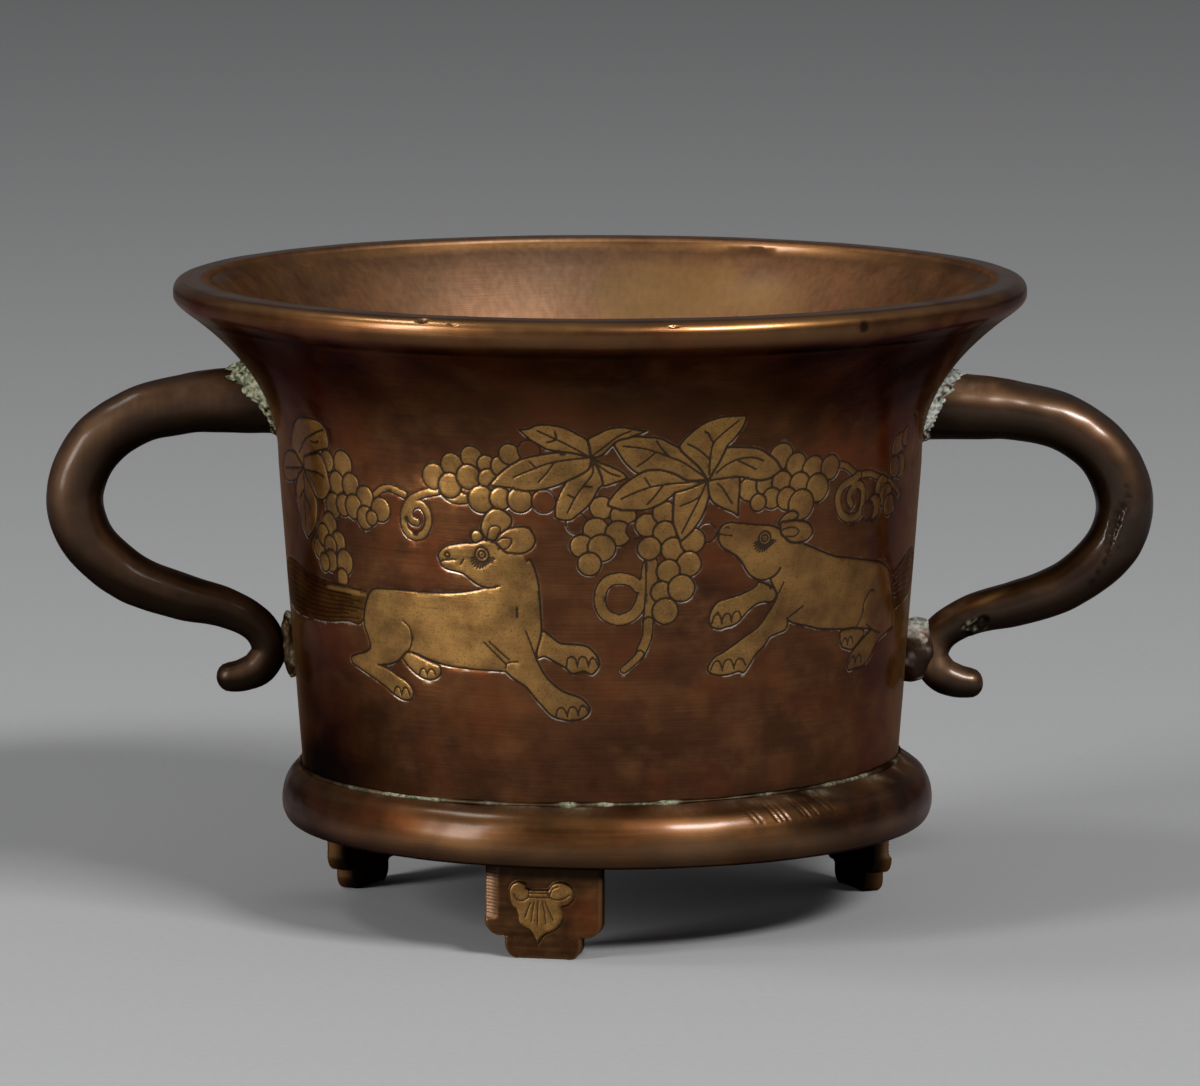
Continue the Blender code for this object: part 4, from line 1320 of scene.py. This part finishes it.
# rubbed along the belly and the shoulder, with a painted highlight right of the middle
rub_and_highlight = 0.18 * bell(z, 13.6, 1.6) + 0.14 * bell(z, 18.4, 0.9)
rub_and_highlight = rub_and_highlight + 0.26 * bell(turn, 0.34, 0.24) * bell(z, 15.6, 1.6)
hang(
    ring_mesh, p, bronze_cast, ["base_ring"],
    {"green": residue, "rubbed_and_highlight": rub_and_highlight * (1 + 0.8 * cloud), "soot_and_shade": soot_and_shade, "haze_and_sheen": sheen_patch},
)

# %% [markdown]
# The solder seam. Where ring and wall meet, a bead of old solder has turned whitish green. It
# is a thin round cord, made by spinning a small circle, and its thickness and height wander,
# so that it shows in places and is worn away in others.

# %% solder bead in the corner of wall and ring
BEAD = 0.34
BEAD_SIDES = 10
BEAD_STEPS = 420
BEAD_REACH = BASE_RADIUS + 0.2
BEAD_LIFT = 0.05
# where the salts have grown: turn from the front and half width, in radians, and thickness
SALT_PATCHES = [
    (-0.62, 0.16, 0.5), (-0.10, 0.022, 0.9), (0.02, 0.018, 0.9), (0.22, 0.045, 1.0),
    (0.95, 0.2, 0.35),
]
bead = bmesh.new()
small = bmesh.ops.create_circle(bead, radius=BEAD, segments=BEAD_SIDES)["verts"]
bmesh.ops.rotate(bead, cent=(0, 0, 0), matrix=Matrix.Rotation(math.pi / 2, 3, "X"), verts=small)
bmesh.ops.translate(bead, vec=(BEAD_REACH, 0, 0), verts=small)
spin_round(bead, list(bead.verts) + list(bead.edges), BEAD_STEPS)
bead_mesh, p = make_mesh(bead, "seam_bead")
turn, radius, z = around_axis(p)
spot = placed(turn, BEAD_REACH, 0 * turn)
salts = sum(thick * bell(turn, place, wide) for place, wide, thick in SALT_PATCHES)
swell = 0.75 + waves(spot, (0.4, 6.0, 21), (0.25, 1.5, 22)) + 0.4 * salts
rest = ring_top(np.hypot(spot[:, 0] - RING_SHIFT, spot[:, 1])) + BEAD_LIFT
green = 0.35 + waves(spot, (0.8, 8.0, 23), (0.5, 2.0, 24)) + salts
hang(
    bead_mesh, placed(turn, BEAD_REACH + (radius - BEAD_REACH) * swell, rest + z * swell),
    solder_crust, ["base_seam_solder"],
    {"green": 0.75 * ramp(green, 0.25, 1.2), "soot_and_shade": 0.6 * ramp(green, 0.4, -0.1)},
)

# %% [markdown]
# The handles. Each is a cast rod that leaves the flare level, bends round in a loop, touches
# the wall at its heel and ends in a short tail. A circle is extruded from station to station
# along the centreline: each new ring of points is carried to the next place, direction and
# thickness. The ends are closed, and the tail gets a round tip.

# %% centreline of a handle
HANDLE_RADIUS = 3.65
ROOT_HEIGHT = {"left": 65.4, "right": 64.6}
ROOT_SHARE = 1.22
ROOT_DEPTH = 2.0
HEEL_DROP = 32.0
HEEL_GAP = 0.9
HEEL_SHARE = 0.62
STATION_STEP = 0.45
# the round tip of the tail: angles of its rings, and its length as a share of its radius
TIP_TURNS = (25, 45, 62, 76, 86)
TIP_SHARE = 0.9
# distance out from the heel, rise from the heel, share of the rod's radius
HANDLE_ROUTE = [
    (5.7, 31.7, 1.12), (10.2, 31.3, 1.04), (16.7, 29.7, 1.00), (22.0, 25.8, 1.00),
    (24.5, 19.9, 1.00), (23.0, 14.0, 0.96), (17.7, 9.2, 0.87), (11.3, 6.7, 0.81),
    (5.4, 5.2, 0.70), (1.4, 2.9, 0.63), (0.0, 0.0, HEEL_SHARE), (1.2, -2.4, 0.63),
    (3.2, -3.4, 0.59), (5.0, -3.7, 0.54),
]


def heel_place(side):
    """Distance of the heel's centre from the axis, and its height."""
    height = ROOT_HEIGHT[side] - HEEL_DROP
    return float(wall_radius(height)) + HEEL_GAP + HEEL_SHARE * HANDLE_RADIUS, height


def centreline(side):
    """Close stations (reach, height, rod radius) from inside the wall to the tail's tip."""
    reach, height = heel_place(side)
    root = ROOT_HEIGHT[side]
    route = [(float(wall_radius(root)) - ROOT_DEPTH, root, ROOT_SHARE * HANDLE_RADIUS)]
    route += [(reach + out, height + up, share * HANDLE_RADIUS) for out, up, share in HANDLE_ROUTE]
    stations = [tuple(p) for p in smooth_line(route, step=STATION_STEP)]
    (x0, z0, _), (x1, z1, tip) = stations[-2:]
    along = np.array([x1 - x0, z1 - z0]) / math.hypot(x1 - x0, z1 - z0)
    for degrees in TIP_TURNS:
        turn = math.radians(degrees)
        forth = along * tip * math.sin(turn) * TIP_SHARE
        stations.append((x1 + forth[0], z1 + forth[1], tip * math.cos(turn)))
    return stations


print("stations of a handle:", len(centreline("left")))

# %% sweep a rod along stations
def sweep(stations, facing, sides):
    """A closed rod: a circle extruded from station to station in the plane of x and z."""
    rod = bmesh.new()
    bmesh.ops.create_circle(rod, cap_ends=True, radius=1.0, segments=sides)
    verts, edges = list(rod.verts), list(rod.edges)
    place = Matrix.Identity(4)
    for i, (reach, height, radius) in enumerate(stations):
        before, after = stations[max(i - 1, 0)], stations[min(i + 1, len(stations) - 1)]
        ahead = Vector((facing * (after[0] - before[0]), 0.0, after[1] - before[1])).normalized()
        across = Vector((0.0, 1.0, 0.0))
        axes = Matrix((across, ahead.cross(across), ahead)).transposed().to_4x4()
        target = Matrix.Translation((facing * reach, 0.0, height)) @ axes @ Matrix.Scale(radius, 4)
        if i:
            grown = bmesh.ops.extrude_edge_only(rod, edges=edges)["geom"]
            verts = [g for g in grown if isinstance(g, bmesh.types.BMVert)]
            edges = [g for g in grown if isinstance(g, bmesh.types.BMEdge)]
            fresh = set(verts)
            edges = [e for e in edges if fresh.issuperset(e.verts)]
        step = target @ place.inverted()
        bmesh.ops.transform(rod, matrix=step, verts=verts, space=Matrix.Identity(4))
        place = target
    bmesh.ops.edgeloop_fill(rod, edges=edges)
    return rod


# %% marks of the two handles
FACING = {"left": -1, "right": 1}
ROD_SIDES = 64
WALL_BITE = 1.0
# how far the rods are rubbed, bloomed pale near the wall, given painted shade low on the arm and dry
# all over
RUB = {"left": 0.06, "right": 0.10}
BLOOM = {"left": 0.08, "right": 0.75}
LOWER_SHADE = {"left": 0.5, "right": 0.1}
DRY = {"left": 0.14, "right": 0.0}
# casting pits on the front of the rods: across, height, size
PITS = {
    "left": [(-59.0, 37.5, 0.5), (-54.5, 36.6, 0.4), (-46.5, 33.0, 0.5)],
    "right": [(66.6, 54.6, 0.5), (66.8, 53.4, 0.6), (66.2, 52.0, 0.8), (65.6, 51.0, 0.9),
              (65.3, 49.8, 0.9), (64.9, 48.6, 0.8), (64.7, 47.4, 0.7), (64.3, 46.2, 0.7),
              (63.9, 45.0, 0.6), (63.2, 43.6, 0.5), (62.4, 42.4, 0.5), (65.6, 46.6, 0.4),
              (48.6, 37.4, 0.9), (47.6, 36.6, 0.9), (46.6, 35.4, 0.7)],
}
PIT_DEPTH = 0.6
# on the right rod: crumbs of salts and a yellow streak, with their half sizes across and up
CRUMBS, CRUMBS_SIZE = (47.4, 36.6), (2.2, 1.3)
STREAK, STREAK_SIZE, STREAK_SLOPE = (49.6, 40.2), (3.4, 0.6), 0.45


def oval(across, up, size):
    """Distance from the middle of an oval, 1 at its edge."""
    return np.hypot(across / size[0], up / size[1])


print("casting pits:", {side: len(pits) for side, pits in PITS.items()})

# %% the two handles
for number, side in enumerate(FACING):
    mesh, p = make_mesh(sweep(centreline(side), FACING[side], ROD_SIDES), f"loop_handle_{side}")
    normal = np.empty(len(mesh.vertices) * 3)
    mesh.vertices.foreach_get("normal", normal)
    normal = normal.reshape(-1, 3)
    dents = waves(p, (0.13, 8.0, 31 + number), (0.06, 2.6, 33 + number))
    pitted = np.zeros(len(p))
    for x, z, size in PITS[side]:
        away = np.hypot(p[:, 0] - x, p[:, 2] - z) + 9 * (p[:, 1] > 0)
        dents = dents - PIT_DEPTH * size * ramp(away, size, 0.2 * size)
        pitted = np.maximum(pitted, ramp(away, size, 0.3 * size))
    p = p + normal * dents[:, None]
    # the root ends in the wall: no point goes deeper into it than the bite
    floor = wall_radius(p[:, 2]) - WALL_BITE
    deep = np.hypot(p[:, 0], p[:, 1]) < floor
    flat = np.sqrt(np.maximum(floor**2 - p[:, 1] ** 2, 0))
    p[:, 0] = np.where(deep & (p[:, 2] > 50), FACING[side] * flat, p[:, 0])

    x, z, up = p[:, 0], p[:, 2], normal[:, 2]
    reach, height = heel_place(side)
    cloud = unevenness(p, 6.0, 35 + number)
    from_wall = np.hypot(x, p[:, 1]) - wall_radius(z)
    rub_and_highlight = RUB[side] * ramp(up, -0.2, 0.9) * (0.8 + 0.9 * cloud)
    at_heel = ramp(oval(np.abs(x) - reach + 0.5, z - height + 0.3, (3.6, 5.0)), 1.0, 0.3)
    at_root = ramp(from_wall, 11.0, 1.0) * ramp(up, 0.2, 0.8)
    bloom = BLOOM[side] * np.maximum(at_heel, at_root) * (0.8 + 0.6 * unevenness(p, 1.6, 39))
    dry = DRY[side] * (1 + 0.8 * cloud)
    on_right = side == "right"
    crumbs = on_right * ramp(oval(x - CRUMBS[0], z - CRUMBS[1], CRUMBS_SIZE), 1.0, 0.3)
    along, rise = x - STREAK[0], z - STREAK[1]
    yellow = on_right * ramp(oval(along, rise - STREAK_SLOPE * along, STREAK_SIZE), 1.0, 0.2)
    # painted shade on the undersides and near the wall, and more low on the arm
    soot_and_shade = 0.85 * ramp(up, 0.25, -0.6) + 0.4 * ramp(from_wall, 5.5, 0.5)
    soot_and_shade = soot_and_shade + LOWER_SHADE[side] * ramp(z, height + 15.0, height + 3.0)
    soot_and_shade = (1 - bloom) * soot_and_shade + dry + 0.5 * crumbs + 0.5 * pitted
    salts = 0.8 * crumbs * ramp(unevenness(p, 0.7, 37), 0.0, 0.35)
    hang(
        mesh, p, bronze_rod, [f"handle_{side}"],
        {"rubbed_and_highlight": rub_and_highlight, "soot_and_shade": soot_and_shade, "haze_and_sheen": bloom + dry, "stain_and_reflection": 0.6 * yellow, "green": salts},
    )

# %% [markdown]
# The soldered joints. At each root the old solder has grown a pale green crust. A collar
# follows the rod and runs out thin, and its start follows the curved wall, so no gap shows.
# It starts as a swept tube, whose points are then laid between the wall and the collar's end
# and roughened. At each heel a lump of solder fills the gap between rod and wall: a ball that
# is squeezed, then roughened the same way.

# %% collars at the roots
COLLAR_ROWS = 36
COLLAR_SIDES = 190
COLLAR_SEAT = 0.7
COLLAR_SUNK = 0.2
SOLDER = {"left": solder_crust, "right": solder_pale}
CRUST = {
    # how far it runs out at the top and at the bottom, thickness, roughness, how much is green
    "left": (3.9, 1.5, 0.75, 0.2, 0.25),
    "right": (3.6, 1.9, 0.70, 0.1, 0.3),
}
for number, (side, (top_reach, low_reach, thick, rough, greener)) in enumerate(CRUST.items()):
    axis = ROOT_HEIGHT[side]
    rows = [(float(i), axis, 5.0) for i in range(COLLAR_ROWS + 1)]
    mesh, p = make_mesh(sweep(rows, FACING[side], COLLAR_SIDES), f"root_solder_{side}")
    share = np.abs(p[:, 0]) / COLLAR_ROWS
    around = np.arctan2(p[:, 2] - axis, p[:, 1])
    up = np.sin(around)
    rod_radius = HANDLE_RADIUS * (1.20 - 0.09 * share)
    spot = np.stack([np.cos(around) * 5, up * 5, share * 4], axis=1)
    reach = low_reach + (top_reach - low_reach) * ramp(up, -0.9, 0.6)
    reach = reach * (1 + 0.3 * unevenness(spot * (1, 1, 0), 2.0, 41 + number))
    lumps = waves(spot, (0.12, 1.3, 43 + number), (rough, 0.45, 45 + number))
    body = np.maximum(1 - share, 0) ** 1.1
    grown = (thick + COLLAR_SUNK) * body - COLLAR_SUNK + lumps * ramp(share, 1.0, 0.6)
    ring_radius = rod_radius + np.maximum(grown, -COLLAR_SUNK)
    y = ring_radius * np.cos(around)
    z = axis - 0.15 * share + ring_radius * up
    at_wall = np.sqrt(np.maximum(wall_radius(z) ** 2 - y**2, 0))
    x = at_wall - COLLAR_SEAT + share * (reach + COLLAR_SEAT)
    green = waves(spot, (0.6, 1.9, 47 + number), (0.8, 0.6, 49 + number))
    green = 0.55 + green + greener - 0.5 * ramp(up, 0.0, -1.0)
    hang(
        mesh, np.stack([FACING[side] * x, y, z], axis=1), SOLDER[side],
        [f"handle_{side}_upper_solder"],
        {"green": 0.95 * ramp(green, 0.2, 0.7), "soot_and_shade": 0.7 * ramp(green, 0.35, 0.0)},
    )

# %% lumps at the heels
HEEL_LUMP = {"left": (1.2, 1.8, 4.2), "right": (3.5, 3.2, 4.1)}
HEEL_OUT = {"left": 0.4, "right": 1.0}
HEEL_LIFT = 0.6
HEEL_SALTS = {"left": 0.75, "right": 0.6}
HEEL_ROUGH = {"left": (0.14, 0.06), "right": (0.05, 0.018)}
for number, side in enumerate(FACING):
    lump = bmesh.new()
    bmesh.ops.create_icosphere(lump, subdivisions=5, radius=1.0)
    bmesh.ops.scale(lump, vec=HEEL_LUMP[side], verts=lump.verts)
    mesh, p = make_mesh(lump, f"heel_solder_{side}")
    coarse, fine = HEEL_ROUGH[side]
    rough = 1 + waves(p, (coarse, 1.8, 51 + number), (fine, 0.5, 53 + number))
    p = p * rough[:, None]
    outward = FACING[side] * p[:, 0]
    # the salts sit near the wall on the left joint, and on top of the right one
    if side == "left":
        grown = 0.5 * ramp(-outward / HEEL_LUMP[side][0], -0.2, 0.5) - 0.3
    else:
        grown = 0.75 * ramp(p[:, 2], 1.0, 3.4) - 0.5
    green = 0.45 + waves(p, (0.9, 1.7, 55 + number), (0.4, 0.8, 57 + number)) + grown
    z = p[:, 2] + heel_place(side)[1] + HEEL_LIFT
    x = FACING[side] * (wall_radius(z) + HEEL_OUT[side] + outward)
    hang(
        mesh, np.stack([x, p[:, 1], z], axis=1), SOLDER[side],
        [f"handle_{side}_lower_solder"],
        {"green": HEEL_SALTS[side] * ramp(green, 0.25, 0.8), "soot_and_shade": 0.6 * ramp(green, 0.4, 0.0)},
    )

# %% [markdown]
# The feet. Each is a flat plate sawn to a cloud outline: straight sides, round shoulders, a
# step inwards and a rounded lobe. A grid is laid over the outline by squeezing each row to the
# plate's width there, then given its thickness. On the face a gilt leaf stands out in low
# relief, with two curled lobes, a bar between them and veins that run to its point. The leaf is
# drawn on a board like the frieze. The left edge of the plate still shows the file.

# %% drawing of the leaf
LEAF_RISE = 0.42
LEAF_GOLD = 0.62
LEAF_LINE = 0.13
leaf = Drawing(-5.0, 5.0, 0.8, 10.4, 0.04)
LEAF_EDGE = (
    "-1.75,8.8 -2,9.4 -2.9,9.75 -3.8,9.4 -4.25,8.5 -4.15,7.4 -3.85,6.5 -3.4,6.2! -3.15,5.4"
    " -3.1,4.7 -2.7,4.1 -1.6,3.5 -1.1,2.8 -.6,1.75! -.2,2.5 .4,3.1 1.6,3.7 2.4,4.6 2.7,5.4"
    " 2.45,6.6! 3.3,6.9 3.95,7.7 4,8.6 3.4,9.5 2.4,9.85 1.4,9.6 .85,9 .65,8.8"
)
leaf.figure(LEAF_EDGE, gilt=LEAF_GOLD, rise=LEAF_RISE, soft=0.35, width=0.14, depth=0.6)
leaf.engrave(
    ["-1.75,8.8 -1.6,8.3 -1.8,7.65 -2.5,7.3 -3.2,7.5 -3.45,8.1",
     ".85,8.9 .75,8.3 1.1,7.75 1.9,7.55 2.8,7.7 3.5,8.2", "1,8 1.3,8.8 2.1,9.2",
     "-1.6,8.3 .75,8.3", "-1.7,7.75 .9,7.75"], LEAF_LINE, 0.8
)
leaf.engrave(
    ["-.46,7.3 -.5,6 -.5,4.4", ".46,7.2 .9,6.2 1.5,4.9", "-1.4,7.1 -1.8,6.1 -2.1,5.2",
     ".1,7.2 .4,5.8 .5,4.5", "-.95,7.2 -1.2,5.8 -1.3,4.7"], LEAF_LINE, 0.7
)
print("leaf squares:", int((leaf.gilt > 0).sum()))

# %% plate of a foot
FOOT_FACE = 37.0
FOOT_THICKNESS = 2.6
FOOT_HALF = 7.4
FOOT_LOBE_HALF = 4.85
FOOT_SHOULDER = 2.0
FOOT_LOBE_ROUND = 1.7
FOOT_STEP = 2.7
FOOT_TOP = BASE_HEIGHT + 0.3
FOOT_TURNS = {"front": -12.5, "left": -117.5, "right": 114.0}
FOOT_COLUMNS = 110
EDGE_ROUND = 0.45
FAR = 9.0
# the filed edge: where it starts from the left side, and the pitch and slant of the teeth
FILED_FROM = -5.4
TOOTH_PITCH = 0.42
TOOTH_SLANT = 0.12


def foot_half_width(z):
    """Half the plate's width at a height."""
    below = np.clip(FOOT_STEP + FOOT_SHOULDER - z, 0, FOOT_SHOULDER)
    upper = FOOT_HALF - FOOT_SHOULDER + np.sqrt(FOOT_SHOULDER**2 - below**2)
    below = np.clip(FOOT_LOBE_ROUND - z, 0, FOOT_LOBE_ROUND)
    lobe = FOOT_LOBE_HALF - FOOT_LOBE_ROUND + np.sqrt(FOOT_LOBE_ROUND**2 - below**2)
    return np.where(z > FOOT_STEP, upper, lobe)


rows = np.concatenate([
    FOOT_LOBE_ROUND * (1 - np.cos(np.linspace(0, math.pi / 2, 15)))[:-1],
    np.linspace(FOOT_LOBE_ROUND, FOOT_STEP, 9),
    FOOT_STEP + FOOT_SHOULDER * (1 - np.cos(np.linspace(0.02, math.pi / 2, 18))),
    np.linspace(FOOT_STEP + FOOT_SHOULDER, FOOT_TOP, 62)[1:],
])
print("rows of a foot:", len(rows))


# %% the three feet
def foot_plate():
    """A plate of the foot's outline and thickness, with its face at y = 0."""
    plate = bmesh.new()
    last = len(rows) - 1
    bmesh.ops.create_grid(plate, x_segments=FOOT_COLUMNS, y_segments=last, size=1.0)
    for v in plate.verts:
        height = float(rows[round((v.co.y + 1) / 2 * last)])
        v.co = (v.co.x * float(foot_half_width(height)), 0.0, height)
    bmesh.ops.recalc_face_normals(plate, faces=plate.faces)
    back = bmesh.ops.extrude_face_region(plate, geom=list(plate.faces), use_keep_orig=True)["geom"]
    back = [g for g in back if isinstance(g, bmesh.types.BMVert)]
    bmesh.ops.translate(plate, vec=(0, FOOT_THICKNESS, 0), verts=back)
    return plate


for number, (name, degrees) in enumerate(FOOT_TURNS.items()):
    mesh, p = make_mesh(foot_plate(), f"cloud_foot_{name}")
    x, z = p[:, 0].copy(), p[:, 2]
    face = p[:, 1] < 0.01
    rim = np.minimum(foot_half_width(z) - np.abs(x), np.where(np.abs(x) < 3.2, z, FAR))
    step_gap = np.where(np.abs(x) > FOOT_LOBE_HALF, np.abs(z - FOOT_STEP), FAR)
    rim = np.clip(np.minimum(rim, step_gap) / EDGE_ROUND, 0, 1)
    fall = EDGE_ROUND * (1 - np.sqrt(np.clip(1 - (1 - rim) ** 2, 0, 1)))
    dents = waves(p, (0.05, 3.0, 61 + number), (0.03, 1.0, 64 + number))
    cut, gilt, raised = (face * leaf.read(f, x, z) for f in (leaf.cut, leaf.gilt, leaf.raised))
    rise = raised - CUT_DEPTH * cut
    filed = ramp(x, FILED_FROM, FOOT_HALF * -0.95) * ramp(z, 4.6, 5.4) * face
    teeth = np.abs(((z + TOOTH_SLANT * x) / TOOTH_PITCH) % 1.0 - 0.5) * 2
    y = p[:, 1] + np.where(face, fall + dents - rise + filed * (0.35 + 0.18 * teeth), -fall)
    y = y - FOOT_FACE
    turn = math.radians(degrees)
    p[:, 0] = x * math.cos(turn) - y * math.sin(turn) + RING_SHIFT
    p[:, 1] = x * math.sin(turn) + y * math.cos(turn)
    rub_and_highlight = 0.5 * (1 - rim) * face + 0.2 * filed
    # painted shadow of the ring on the top strip, painted shade on the back and edges, more on the two
    # rear feet
    soot_and_shade = ramp(z, 9.6, 10.6) + 0.6 * (1 - face) + (0.0 if name == "front" else 0.35)
    hang(
        mesh, p, bronze_foot, [f"foot_{name}", f"foot_{name}_leaf"],
        {"cut": cut, "gilt": gilt, "rubbed_and_highlight": rub_and_highlight, "soot_and_shade": soot_and_shade * (1 - gilt), "haze_and_sheen": 0.7 * filed},
    )

# %% [markdown]
# The floor of the bowl. A disc is let into the foot of the wall. It was turned, so faint rings
# run round its middle, and ash has left it dull. A short profile from the axis to the edge and
# back is spun, and the points on the axis are merged.

# %% floor plate
PLATE_RADIUS = BASE_RADIUS - WALL - 0.02
PLATE_TOP = BASE_HEIGHT + 2.2
PLATE_UNDER = BASE_HEIGHT + 0.1
PLATE_HOLLOW = 0.35
PLATE_ARCH = 0.25
TOOL_RINGS = 0.03
PLATE_STEPS = 120


def inward(r):
    """1 on the axis, falling to 0 at the plate's edge."""
    return 1 - (r / PLATE_RADIUS) ** 2


reach = np.linspace(0, PLATE_RADIUS, 60)
upper = [(r, PLATE_TOP - PLATE_HOLLOW * inward(r) + TOOL_RINGS * math.sin(r * 2.6)) for r in reach]
under = [(r, PLATE_UNDER + PLATE_ARCH * inward(r)) for r in (*reach[::-4], 0.0)]
plate = turned(upper + under, PLATE_STEPS, closed=False)
bmesh.ops.remove_doubles(plate, verts=plate.verts, dist=0.001)
mesh, p = make_mesh(plate, "bowl_floor")
p[:, 2] += 0.06 * unevenness(p, 7.0, 71)
ash = 0.35 + 0.5 * unevenness(p, 10.0, 72)
hang(mesh, p, bronze_cast, ["base_plate"], {"soot_and_shade": ash})
